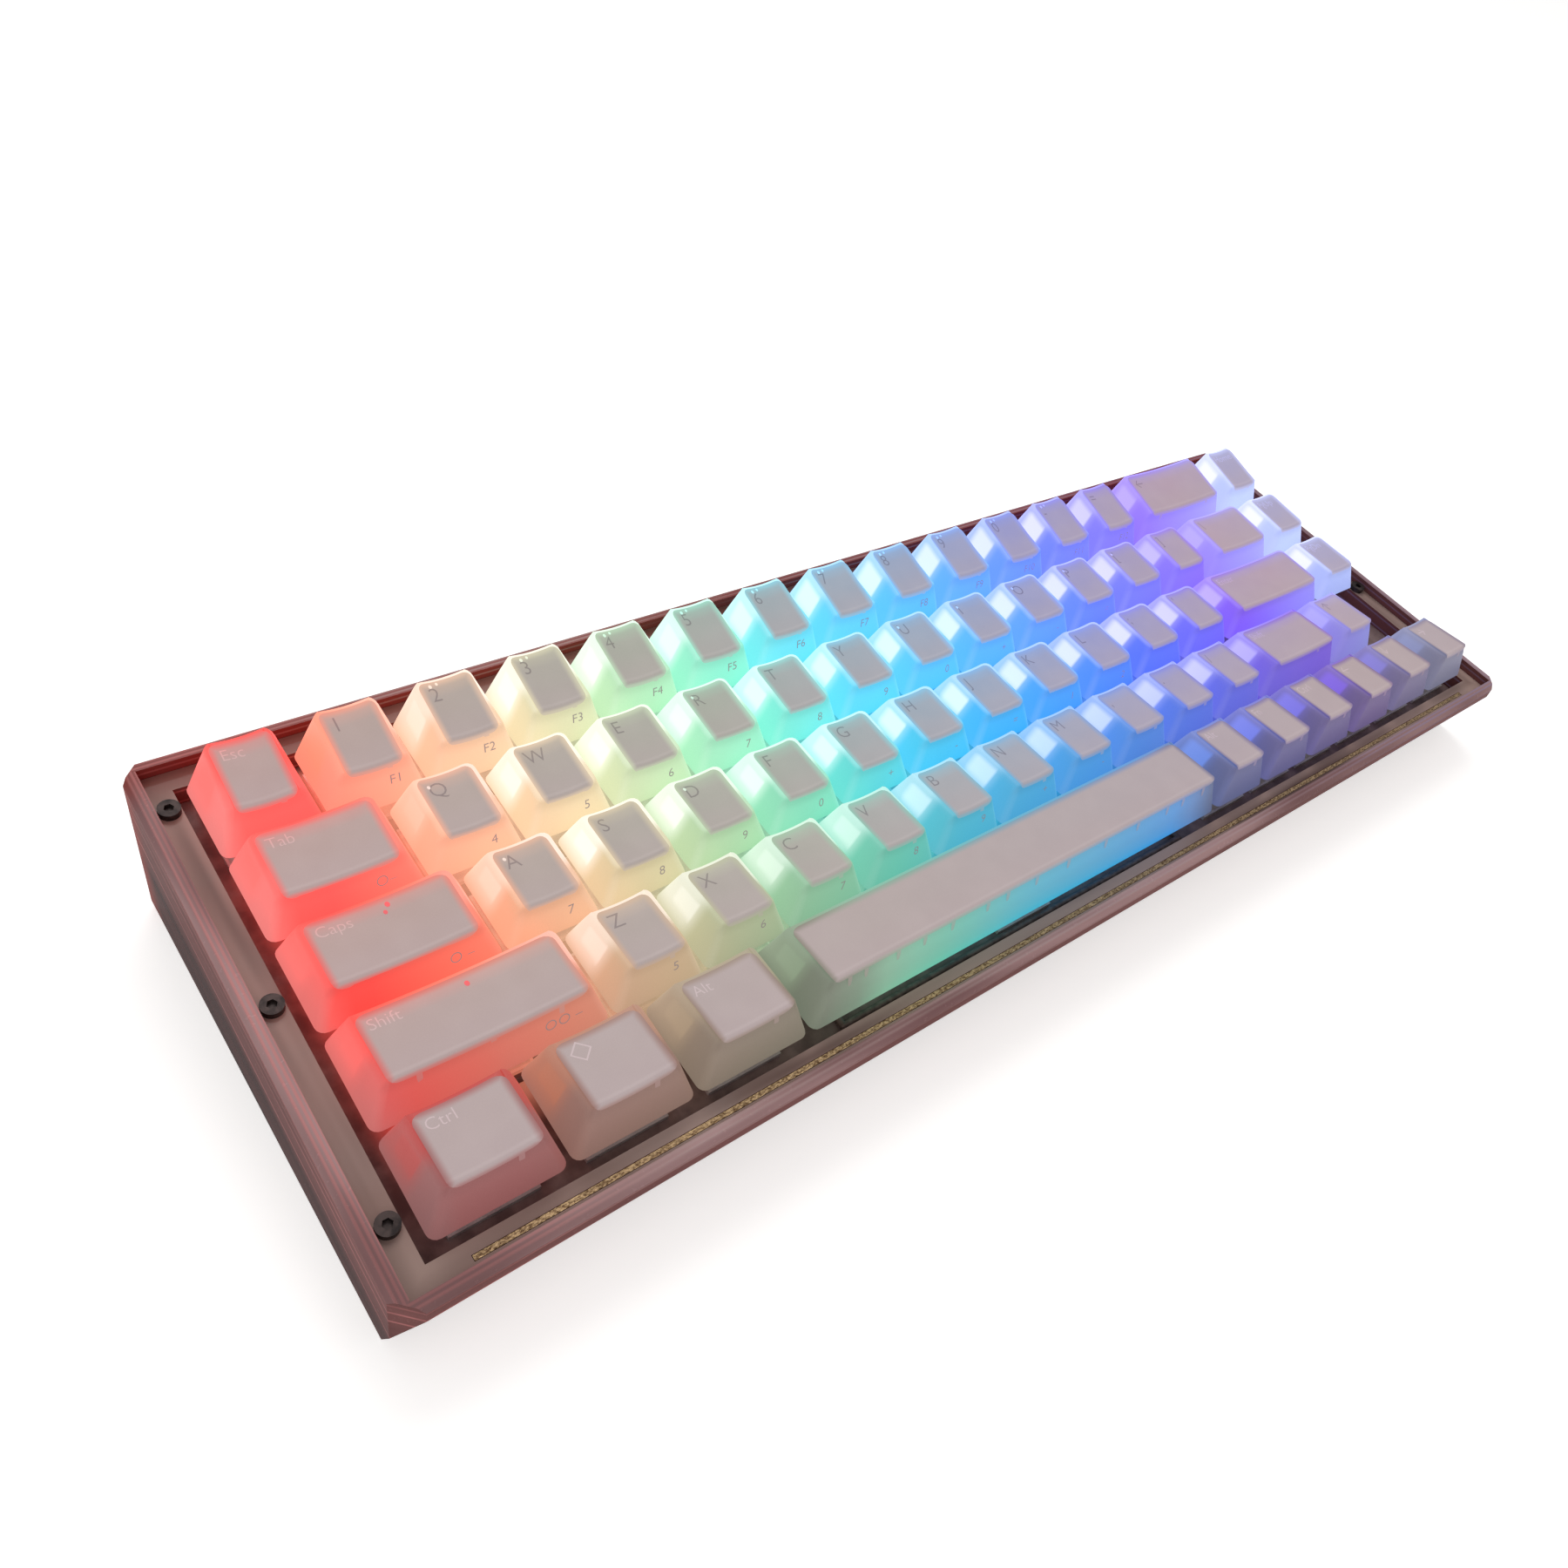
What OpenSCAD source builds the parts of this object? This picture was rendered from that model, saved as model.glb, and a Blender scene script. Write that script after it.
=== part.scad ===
// 65 per cent mechanical keyboard with a clear wedge case and frosted keycaps.
// Millimetres, +X to the right, +Y to the back, +Z up. The origin is under the
// middle of the case, on the surface that the feet stand on.
//
// Most pieces are drawn in the deck frame: x and y run along the sloping key
// deck from the front-left corner of the key block, and z is the height above
// the lower edges of the resting keycaps. deck() puts that frame in its place.

/* [Keys] */
// Distance between the centres of two neighbouring keys
key_pitch = 19.05; // [18:0.05:20]
// Width of a one-unit keycap at its lower edge
cap_foot = 18.15; // [17:0.05:18.3]
// Width of a one-unit keycap at its top
cap_top_w = 12.1; // [11:0.1:14]
// Keycap wall thickness
cap_wall = 1.4; // [1:0.1:1.6]
// Depth of the hollow in each keycap top
dish_depth = 0.8; // [0.2:0.1:1]
// Full key travel
travel = 4; // [3:0.1:4]

/* [Case] */
// Slope of the key deck, in degrees
tilt = 6.5; // [4:0.5:9]
// Case rim beyond the keys at each side
side_rim = 8.2; // [7:0.1:12]
// Case rim beyond the keys at the front
front_rim = 7.7; // [7:0.1:12]
// Case rim beyond the keys at the back
back_rim = 8.0; // [7:0.1:12]
// Height of the front rim above the table
front_h = 20.3; // [19.5:0.1:26]
// Width of the rim's flat top
rim_wall = 2.7; // [2:0.1:3.2]
// Chamfer on the four upright corners
corner_cut = 4; // [2:0.5:6]
// How far the front face slopes in towards its foot
front_undercut = 7.4; // [0:0.1:8]
// Thickness of the case floor
floor_t = 3.2; // [2:0.1:4]

/* [Switches] */
// Depth of the switch plate's top below the resting keycaps
plate_drop = 6.3; // [6.1:0.1:7]
// Side of the square holes in the switch plate
switch_hole = 14; // [13.9:0.05:14.1]
// Height of a switch housing above the plate
housing_up = 6.6; // [6:0.1:6.6]

/* [Hidden] */
rows = 5;
block_u = 16;
block_w = block_u * key_pitch;
block_d = rows * key_pitch;
plate_t = 1.5;
plate_top = -plate_drop;
plate_low = plate_top - plate_t;
board_top = plate_top - 5;
board_t = 1.6;
board_low = board_top - board_t;
housing_top = plate_top + housing_up;
cap_rim_w = cap_foot - cap_top_w;
key_gap = key_pitch - cap_foot;
rim_up = 0.5;
rim_bevel = 0.9;
front_band = 3.5;
heel_cut = 2;
foot_front = 18;
foot_back = 14;
foot_side = 22;
foot_recess = 0.8;
frame_top = -2;
frame_gap = 1.1;
pocket_gap = 0.1;
cavity_gap = 1;
board_gap = 0.5;
foot_h = 1.5;
foot_r = 5;
big = 400;
deep = 60;
round_fn = 48;
small_fn = 24;
dish_fn = 200;

// Slider of a switch: block, cross on top, round shaft below.
slider_size = [6.8, 5.5];
slider_low = plate_top + 0.8;
slider_top = housing_top - 0.3;
cross_arm = 4;
cross_t = 1.2;
cross_fit = 0.2;
stem_top = housing_top + 3.6;
shaft_d = 3;
shaft_low = plate_top - 0.1;

// Boss under a keycap that takes the cross.
boss_d = 5.5;
boss_low = housing_top + 0.4;

// Switch housing: flange on the plate, tapering upper half, well for the slider.
flange = 15.6;
flange_t = 1;
upper_foot = 14.6;
upper_top = [10.6, 10];
well_size = [7.4, 6.3];
well_floor = 0.7;
well_gap = 0.1;

// Return spring, drawn as a sleeve.
spring_d = 4.6;
spring_bore = 3.8;

// Light under the back half of each key, and the notch that leaves room for it.
led_size = [3.4, 2.8, 1.6];
led_y = 3.9;
led_room = [5.2, 4, 2];

// Stabiliser under each side of a wide key.
guide_hole = [6.75, 12.3];
guide_foot = [6.6, 12.2];
guide_flange = [7.4, 13.4];
guide_upper = [6, 11];
guide_well = [4.4, 6.6];
guide_slider = [3.6, 6];
guide_flange_t = 0.9;
guide_top = plate_top + 2.8;
guide_low = board_top + 0.5;
guide_floor = 0.8;
guide_slider_low = guide_low + guide_floor + travel + 0.3;
wire_d = 1.5;
wire_y = -9;
wire_arm = 2.2;
wire_gap = 0.05;

case_w = block_w + 2 * side_rim;
case_d = (front_rim + block_d + back_rim) * cos(tilt);
back_h = front_h + (front_rim + block_d + back_rim) * sin(tilt);
deck_y = -case_d / 2 + front_rim * cos(tilt) + rim_up * sin(tilt);
deck_z = front_h + front_rim * sin(tilt) - rim_up * cos(tilt);

// Keycap profile of each row, front row first: height of the top's back edge
// and of its front edge above the cap's foot.
ROW_BACK_Z = [8.2, 7.5, 7.4, 8.7, 11.6];
ROW_FRONT_Z = [9.6, 8.6, 7.4, 7.7, 8.7];
top_back_y = 7.3;
top_front_y = 6.0;
cap_ceiling = 1.5;

// Width of the space bar in key units. Its top is flat, and the others have a hollow.
space_u = 6.25;

// Every key: node, row from the front, centre and width in key units.
KEYS = [
    ["key_left_control", 0, 0.625, 1.25],
    ["keys_left_modifiers", 0, 1.875, 1.25],
    ["keys_left_modifiers", 0, 3.125, 1.25],
    ["key_space", 0, 6.875, space_u],
    for (x = [10.5:1:12.5]) ["keys_right_modifiers", 0, x, 1],
    ["key_left_arrow", 0, 13.5, 1],
    ["key_down_arrow", 0, 14.5, 1],
    ["key_right_arrow", 0, 15.5, 1],
    ["key_left_shift", 1, 1.125, 2.25],
    for (i = [0:6]) [str("key_", "zxcvbnm"[i]), 1, 2.75 + i, 1],
    for (i = [0:2]) ["keys_comma_to_slash", 1, 9.75 + i, 1],
    ["key_right_shift", 1, 13.125, 1.75],
    ["key_up_arrow", 1, 14.5, 1],
    ["key_caps_lock", 2, 0.875, 1.75],
    for (i = [0:8]) [str("key_", "asdfghjkl"[i]), 2, 2.25 + i, 1],
    for (i = [0:1]) ["keys_semicolon_and_quote", 2, 11.25 + i, 1],
    ["key_enter", 2, 13.875, 2.25],
    ["keys_navigation", 2, 15.5, 1],
    ["key_tab", 3, 0.75, 1.5],
    for (i = [0:9]) [str("key_", "qwertyuiop"[i]), 3, 2 + i, 1],
    for (i = [0:1]) ["keys_brackets", 3, 12 + i, 1],
    ["key_backslash", 3, 14.25, 1.5],
    ["keys_navigation", 3, 15.5, 1],
    ["key_escape", 4, 0.5, 1],
    for (i = [0:11]) ["keys_number_row", 4, 1.5 + i, 1],
    ["key_backspace", 4, 14, 2],
    ["keys_navigation", 4, 15.5, 1],
];
KEY_NODES = [
    for (i = [0:len(KEYS) - 1])
        if (search([KEYS[i][0]], KEYS)[0] == i) KEYS[i][0],
];
FIXED_NODES = [
    "bottom_case", "top_frame", "switch_plate", "circuit_board", "switch_housings",
    "switch_springs", "stabiliser_housings", "stabiliser_wires", "backlight_leds",
    "usb_socket", "rubber_feet", "case_screws", "amber_strip",
];

// Screws stand in the channel at both sides.
screw_gap = 3.2;
screw_front_y = 6.5;
screw_right_y = 38.5;
screw_back_gap = 3.5;
SCREWS = [
    for (x = [-screw_gap, block_w + screw_gap])
        for (y = [screw_front_y, x < 0 ? block_d / 2 : screw_right_y, block_d - screw_back_gap]) [x, y],
];
screw_shaft = 2.6;
screw_hole = 3.0;
screw_head = 3.9;
screw_depth = 12;
screw_head_t = 1.3;
screw_socket_d = 1.8;
screw_socket_low = 0.5;

// The USB socket hangs under the board at the back edge.
usb_x = 2.5 * key_pitch;
usb_w = 8.9;
usb_h = 3.2;
usb_l = 7.3;
usb_wall = 0.3;
usb_back_t = 1;
usb_tongue = [6.4, 0.7];
usb_z = board_low - usb_h / 2;
usb_slot = [12.6, 7.2];

// The amber strip lies in a groove of the front channel.
strip_y = -3.8;
strip_w = 0.9;
strip_t = 0.6;
strip_in = 5;

function key_x(key) = key[2] * key_pitch;
function key_y(key) = (key[1] + 0.5) * key_pitch;
// Offsets of the stabilised stems from the middle of a wide key.
function stabiliser_offset(width_u) = width_u >= space_u ? 50 : 11.9;
function is_stabilised(key) = key[3] >= 2;

module deck() {
    translate([0, deck_y, deck_z]) rotate([tilt, 0, 0])
        translate([-block_w / 2, 0, 0]) children();
}

module at_key(key) {
    translate([key_x(key), key_y(key), 0]) children();
}

// Box over the key block in the deck frame, grown by gap on every side.
module block_box(gap, low, high) {
    translate([-gap, -gap, low]) cube([block_w + 2 * gap, block_d + 2 * gap, high - low]);
}

module centred_box(size, low, high) {
    translate([-size[0] / 2, -size[1] / 2, low]) cube([size[0], size[1], high - low]);
}

// Prism along y of a width that narrows from foot to top, over height h.
module narrowing_sides(foot, top, low, h, depth) {
    translate([0, depth / 2, low]) rotate([90, 0, 0]) linear_extrude(depth)
        polygon([[-foot / 2, 0], [foot / 2, 0], [top / 2, h], [-top / 2, h]]);
}

// Solid keycap body of one key. inset shrinks every wall, and drop lowers the top.
module cap_body(key, inset, drop) {
    foot = key[3] * key_pitch - key_gap;
    top = foot - cap_rim_w;
    back_z = ROW_BACK_Z[key[1]];
    front_z = ROW_FRONT_Z[key[1]];
    tall = max(back_z, front_z) + 1;
    narrowing = (foot - top) * 2 * tall / (back_z + front_z);
    half = cap_foot / 2;
    intersection() {
        narrowing_sides(foot - 2 * inset, foot - 2 * inset - narrowing, 0, tall, cap_foot);
        translate([-foot / 2, 0, 0]) rotate([90, 0, 90]) linear_extrude(foot)
            polygon([
                [-half + inset, 0], [half - inset, 0],
                [top_back_y - inset, back_z - drop], [-top_front_y + inset, front_z - drop],
            ]);
    }
}

// Shallow hollow along the top of a keycap.
module cap_dish(key) {
    top_w = key[3] * key_pitch - key_gap - cap_rim_w;
    back_z = ROW_BACK_Z[key[1]];
    front_z = ROW_FRONT_Z[key[1]];
    slope = atan2(back_z - front_z, top_back_y + top_front_y);
    radius = (top_w * top_w / 4 + dish_depth * dish_depth) / (2 * dish_depth);
    translate([0, (top_back_y - top_front_y) / 2, (back_z + front_z) / 2])
        rotate([slope, 0, 0]) translate([0, 0, radius - dish_depth])
            rotate([90, 0, 0]) cylinder(h = 3 * key_pitch, r = radius, center = true, $fn = dish_fn);
}

// Cross of a stem, or of the slot that takes it.
module cross(arm, thickness, low, high) {
    centred_box([arm, thickness], low, high);
    centred_box([thickness, arm], low, high);
}

module cap_boss(ceiling) {
    difference() {
        translate([0, 0, boss_low]) cylinder(h = ceiling - boss_low, d = boss_d, $fn = small_fn);
        cross(cross_arm + cross_fit, cross_t + cross_fit, boss_low - 1, stem_top + cross_fit);
    }
}

module keycap(key) {
    boss_top = max(ROW_BACK_Z[key[1]], ROW_FRONT_Z[key[1]]);
    stem_x = is_stabilised(key) ? stabiliser_offset(key[3]) : 0;
    difference() {
        cap_body(key, 0, 0);
        difference() {
            translate([0, 0, -0.01]) cap_body(key, cap_wall, cap_ceiling);
            for (x = is_stabilised(key) ? [-stem_x, 0, stem_x] : [0])
                translate([x, 0, 0]) cap_boss(boss_top);
        }
        if (key[3] < space_u) cap_dish(key);
    }
}

// Slider of a switch with the cross that carries the keycap.
module switch_stem() {
    centred_box(slider_size, slider_low, slider_top);
    cross(cross_arm, cross_t, slider_top, stem_top);
    translate([0, 0, shaft_low]) cylinder(h = slider_low - shaft_low + 0.1, d = shaft_d, $fn = small_fn);
}

// Slider of a stabiliser under a wide key.
module stabiliser_stem() {
    centred_box(guide_slider, guide_slider_low, slider_top);
    cross(cross_arm, cross_t, slider_top, stem_top);
}

module key_node(name) {
    deck() for (key = KEYS) if (key[0] == name) at_key(key) {
        color([0.80, 0.78, 0.78]) keycap(key);
        color([0.75, 0.30, 0.28]) switch_stem();
        if (is_stabilised(key))
            for (side = [-1, 1]) translate([side * stabiliser_offset(key[3]), 0, 0])
                color([0.85, 0.85, 0.85]) stabiliser_stem();
    }
}

// Upright prism with the case's outline and its four cut corners.
module case_outline() {
    x = case_w / 2;
    y = case_d / 2;
    cut = corner_cut;
    linear_extrude(back_h + 1) polygon([
        [-x + cut, -y], [x - cut, -y], [x, -y + cut], [x, y - cut],
        [x - cut, y], [-x + cut, y], [-x, y - cut], [-x, -y + cut],
    ]);
}

// Side view of the case, drawn along x: level foot, sloping deck, leaning front.
module case_profile() {
    y = case_d / 2;
    bevel = rim_bevel;
    translate([-case_w / 2, 0, 0]) rotate([90, 0, 90]) linear_extrude(case_w) polygon([
        [-y + front_undercut, foot_h], [y - heel_cut, foot_h], [y, foot_h + heel_cut],
        [y, back_h - bevel], [y - bevel, back_h - bevel * sin(tilt)],
        [-y + bevel, front_h + bevel * sin(tilt)], [-y, front_h - bevel],
        [-y, front_h - front_band],
    ]);
}

// Front view of the case with bevelled rim edges, drawn along the deck.
module case_bevels() {
    x = side_rim;
    deck() translate([0, 2 * block_d, 0]) rotate([90, 0, 0]) linear_extrude(3 * block_d) polygon([
        [-x, -deep], [block_w + x, -deep], [block_w + x, rim_up - rim_bevel],
        [block_w + x - rim_bevel, rim_up + 0.02], [-x + rim_bevel, rim_up + 0.02],
        [-x, rim_up - rim_bevel],
    ]);
}

// Rounded slot in the back wall that takes the plug's shell.
module usb_way() {
    w = usb_slot[0];
    h = usb_slot[1];
    translate([usb_x, block_d + cavity_gap - 0.5, usb_z]) rotate([-90, 0, 0]) {
        translate([-(w - h) / 2, -h / 2, 0]) cube([w - h, h, key_pitch]);
        for (side = [-1, 1])
            translate([side * (w - h) / 2, 0, 0]) cylinder(h = key_pitch, d = h, $fn = round_fn);
    }
}

module foot_places() {
    for (x = [-1, 1]) for (y = [-case_d / 2 + foot_front, case_d / 2 - foot_back])
        translate([x * (case_w / 2 - foot_side), y, 0]) children();
}

module bottom_case() {
    color([0.62, 0.50, 0.48, 0.4]) difference() {
        intersection() {
            case_outline();
            case_profile();
            case_bevels();
        }
        deck() block_box(side_rim - rim_wall, plate_low, deep);
        intersection() {
            deck() block_box(cavity_gap, -deep, plate_low + 1);
            translate([-big / 2, -big / 2, foot_h + floor_t]) cube([big, big, deep]);
        }
        deck() usb_way();
        deck() for (s = SCREWS)
            translate([s[0], s[1], plate_low - screw_depth])
                cylinder(h = 2 * screw_depth, d = screw_shaft, $fn = small_fn);
        foot_places() cylinder(h = foot_h + foot_recess, r = foot_r + pocket_gap, $fn = round_fn);
    }
}

module screw_holes(d) {
    for (s = SCREWS) translate([s[0], s[1], -deep / 2]) cylinder(h = deep, d = d, $fn = small_fn);
}

inset_gap = side_rim - rim_wall - pocket_gap;

module top_frame() {
    color([0.60, 0.50, 0.48, 0.4]) deck() difference() {
        block_box(inset_gap, plate_top, frame_top);
        block_box(frame_gap, plate_top - 1, frame_top + 1);
        translate([strip_in, strip_y - strip_w / 2 - pocket_gap, frame_top - strip_t])
            cube([block_w - 2 * strip_in, strip_w + 2 * pocket_gap, strip_t + 1]);
        screw_holes(screw_hole);
    }
}

module switch_plate() {
    color([0.72, 0.68, 0.66]) deck() difference() {
        block_box(inset_gap, plate_low, plate_top);
        for (key = KEYS) at_key(key) {
            centred_box([switch_hole, switch_hole], plate_low - 1, plate_top + 1);
            if (is_stabilised(key)) for (side = [-1, 1])
                translate([side * stabiliser_offset(key[3]), 0, 0])
                    centred_box(guide_hole, plate_low - 1, plate_top + 1);
        }
        screw_holes(screw_hole);
    }
}

module circuit_board() {
    color([0.16, 0.13, 0.12]) deck() block_box(board_gap, board_low, board_top);
}

module switch_housing() {
    body = switch_hole - well_gap;
    upper_low = plate_top + flange_t;
    upper_h = housing_top - upper_low;
    difference() {
        union() {
            centred_box([body, body], board_top, plate_top);
            centred_box([flange, flange], plate_top, upper_low);
            intersection() {
                narrowing_sides(upper_foot, upper_top[0], upper_low, upper_h, flange);
                rotate([0, 0, 90]) narrowing_sides(upper_foot, upper_top[1], upper_low, upper_h, flange);
            }
        }
        centred_box(well_size, board_top + well_floor, housing_top + 1);
        translate([-led_room[0] / 2, led_y - 2 * well_gap, board_top - 1])
            cube(led_room + [0, 0, 1]);
    }
}

module switch_housings() {
    color([0.85, 0.85, 0.85]) deck() for (key = KEYS) at_key(key) switch_housing();
}

// Return spring of a switch, as a sleeve between the housing floor and the slider.
module switch_spring() {
    low = board_top + well_floor + well_gap;
    length = slider_low - 2 * well_gap - low;
    translate([0, 0, low]) difference() {
        cylinder(h = length, d = spring_d, $fn = small_fn);
        translate([0, 0, -1]) cylinder(h = length + 2, d = spring_bore, $fn = small_fn);
    }
}

module switch_springs() {
    color([0.75, 0.70, 0.50]) deck() for (key = KEYS) at_key(key) switch_spring();
}

module stabiliser_housings() {
    color([0.80, 0.80, 0.80]) deck() for (key = KEYS) if (is_stabilised(key))
        for (side = [-1, 1]) translate([key_x(key) + side * stabiliser_offset(key[3]), key_y(key), 0])
            difference() {
                union() {
                    centred_box(guide_foot, guide_low, plate_top);
                    centred_box(guide_flange, plate_top, plate_top + guide_flange_t);
                    centred_box(guide_upper, plate_top + guide_flange_t, guide_top);
                }
                centred_box(guide_well, guide_low + guide_floor, guide_top + 1);
            }
}

module stabiliser_wires() {
    wire_z = plate_top + wire_d / 2 + wire_gap;
    color("silver") deck() for (key = KEYS) if (is_stabilised(key)) at_key(key) {
        reach = stabiliser_offset(key[3]);
        translate([-reach, wire_y, wire_z]) rotate([0, 90, 0])
            cylinder(h = 2 * reach, d = wire_d, $fn = small_fn);
        for (side = [-1, 1]) translate([side * reach, wire_y, wire_z]) {
            sphere(d = wire_d, $fn = small_fn);
            rotate([-90, 0, 0]) cylinder(h = wire_arm, d = wire_d, $fn = small_fn);
        }
    }
}

module backlight_leds() {
    color("white") deck() for (key = KEYS) at_key(key)
        translate([-led_size[0] / 2, led_y, board_top]) cube(led_size);
}

module usb_socket() {
    color("silver") deck() translate([usb_x, block_d + board_gap, usb_z]) difference() {
        translate([-usb_w / 2, -usb_l, -usb_h / 2]) cube([usb_w, usb_l, usb_h]);
        translate([-usb_w / 2 + usb_wall, -usb_l + usb_back_t, -usb_h / 2 + usb_wall])
            cube([usb_w - 2 * usb_wall, usb_l, usb_h - 2 * usb_wall]);
    }
    color([0.1, 0.1, 0.1]) deck() translate([
        usb_x - usb_tongue[0] / 2, block_d + board_gap - usb_l + usb_back_t, usb_z - usb_tongue[1] / 2,
    ]) cube([usb_tongue[0], usb_l - 2 * usb_back_t, usb_tongue[1]]);
}

module rubber_feet() {
    color([0.12, 0.12, 0.12]) foot_places() cylinder(h = foot_h + foot_recess, r = foot_r, $fn = round_fn);
}

module case_screws() {
    color([0.25, 0.22, 0.22]) deck() for (s = SCREWS) translate([s[0], s[1], frame_top]) difference() {
        union() {
            cylinder(h = screw_head_t, d = screw_head, $fn = round_fn);
            translate([0, 0, -screw_depth])
                cylinder(h = screw_depth + 0.1, d = screw_shaft, $fn = small_fn);
        }
        translate([0, 0, screw_socket_low]) cylinder(h = screw_head_t, d = screw_socket_d, $fn = 6);
    }
}

module amber_strip() {
    color([0.72, 0.50, 0.18]) deck()
        translate([strip_in + pocket_gap, strip_y - strip_w / 2, frame_top - strip_t])
            cube([block_w - 2 * (strip_in + pocket_gap), strip_w, strip_t]);
}

bottom_case();
top_frame();
switch_plate();
circuit_board();
switch_housings();
switch_springs();
stabiliser_housings();
stabiliser_wires();
backlight_leds();
usb_socket();
rubber_feet();
case_screws();
amber_strip();
for (name = KEY_NODES) key_node(name);
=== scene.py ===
"""A 65 per cent mechanical keyboard in a clear smoky case, with frosted keycaps lit from below."""

import logging
import math
from dataclasses import dataclass, field
from enum import Enum

import bmesh
import bpy
import numpy as np
from mathutils import Matrix, Vector


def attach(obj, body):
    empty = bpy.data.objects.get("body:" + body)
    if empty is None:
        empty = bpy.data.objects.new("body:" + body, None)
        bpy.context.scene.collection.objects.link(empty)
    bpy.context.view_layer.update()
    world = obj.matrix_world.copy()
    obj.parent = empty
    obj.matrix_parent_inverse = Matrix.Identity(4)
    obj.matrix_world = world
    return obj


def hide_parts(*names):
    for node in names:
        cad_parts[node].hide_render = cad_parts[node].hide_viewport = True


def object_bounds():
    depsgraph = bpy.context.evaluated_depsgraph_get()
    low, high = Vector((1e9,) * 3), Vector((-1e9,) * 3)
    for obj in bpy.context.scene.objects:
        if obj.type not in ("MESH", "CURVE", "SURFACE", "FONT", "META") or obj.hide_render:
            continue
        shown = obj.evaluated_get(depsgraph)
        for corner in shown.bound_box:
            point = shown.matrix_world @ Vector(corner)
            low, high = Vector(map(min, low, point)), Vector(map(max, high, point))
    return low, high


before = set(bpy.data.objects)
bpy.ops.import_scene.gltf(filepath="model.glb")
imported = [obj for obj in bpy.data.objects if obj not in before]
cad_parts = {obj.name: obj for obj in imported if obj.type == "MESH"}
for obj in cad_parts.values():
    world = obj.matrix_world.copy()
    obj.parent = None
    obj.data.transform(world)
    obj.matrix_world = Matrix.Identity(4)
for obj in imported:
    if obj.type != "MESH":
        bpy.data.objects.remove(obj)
CAD_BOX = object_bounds()

logging.basicConfig(level=logging.INFO, format="%(message)s")
log = logging.getLogger("keyboard")

MM = 0.001
Colour = tuple[float, float, float]
Triple = tuple[float, float, float]
Span = tuple[float, float]


def paint(red: int, green: int, blue: int) -> Colour:
    """Turns a screen colour of 0 to 255 into linear light.

    Args:
        red: Red share.
        green: Green share.
        blue: Blue share.

    Returns:
        The linear colour.
    """
    def linear(value: float) -> float:
        """Undoes the screen's curve for one share."""
        return value / 12.92 if value <= 0.04045 else ((value + 0.055) / 1.055) ** 2.4

    return linear(red / 255), linear(green / 255), linear(blue / 255)


def ease(value: np.ndarray | float, low: float, high: float) -> np.ndarray:
    """Smooth step of numbers, from 0 at low to 1 at high."""
    share = np.clip((np.asarray(value, float) - low) / (high - low), 0.0, 1.0)
    return share * share * (3.0 - 2.0 * share)


class Row(Enum):
    """The five rows of keys, front row first."""

    SPACE = 0
    SHIFT = 1
    HOME = 2
    TAB = 3
    NUMBER = 4


@dataclass(frozen=True)
class Deck:
    """The sloping key deck. Its millimetres run from the front-left corner of the key block."""

    pitch: float = 19.05
    units: int = 16
    rows: int = 5
    tilt_deg: float = 6.5
    side_rim: float = 8.2
    front_rim: float = 7.7
    back_rim: float = 8.0
    front_h: float = 20.3
    rim_up: float = 0.5

    def matrix(self) -> Matrix:
        """Turns deck millimetres into the row frame in metres.

        Returns:
            The 4 by 4 matrix.
        """
        tilt = math.radians(self.tilt_deg)
        depth = (self.front_rim + self.rows * self.pitch + self.back_rim) * math.cos(tilt)
        y = -depth / 2 + self.front_rim * math.cos(tilt) + self.rim_up * math.sin(tilt)
        z = self.front_h + self.front_rim * math.sin(tilt) - self.rim_up * math.cos(tilt)
        place = Matrix.Translation((0, y, z)) @ Matrix.Rotation(tilt, 4, "X")
        middle = Matrix.Translation((-self.units * self.pitch / 2, 0, 0))
        return Matrix.Scale(MM, 4) @ place @ middle


DECK = Deck()


@dataclass(frozen=True)
class Key:
    """One key: the body it rides on, its row, centre and width in key units, and its legends."""

    body: str
    row: Row
    unit: float
    width: float = 1.0
    legend: str = ""
    front: str = ""

    @property
    def centre(self) -> Vector:
        """Middle of the key on the deck, in millimetres."""
        return Vector((self.unit * DECK.pitch, (self.row.value + 0.5) * DECK.pitch, 0))

    @property
    def guided(self) -> bool:
        """Whether the key is wide enough to stand on stabilisers."""
        return self.width >= 2


def letters(names: str, row: Row, first: float, fronts: str = "") -> list[Key]:
    """Lists the single letter keys of a row, each with one mark for its front."""
    marks = fronts or " " * len(names)
    return [
        Key(f"key_{name.lower()}", row, first + i, 1, name, marks[i].strip())
        for i, name in enumerate(names)
    ]


def group(
    body: str, row: Row, first: float, names: list[str], fronts: list[str] | None = None,
) -> list[Key]:
    """Lists neighbouring one-unit keys that ride on one body, from the centre of the first."""
    marks = fronts or [""] * len(names)
    return [Key(body, row, first + i, 1, n, marks[i]) for i, n in enumerate(names)]


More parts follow.
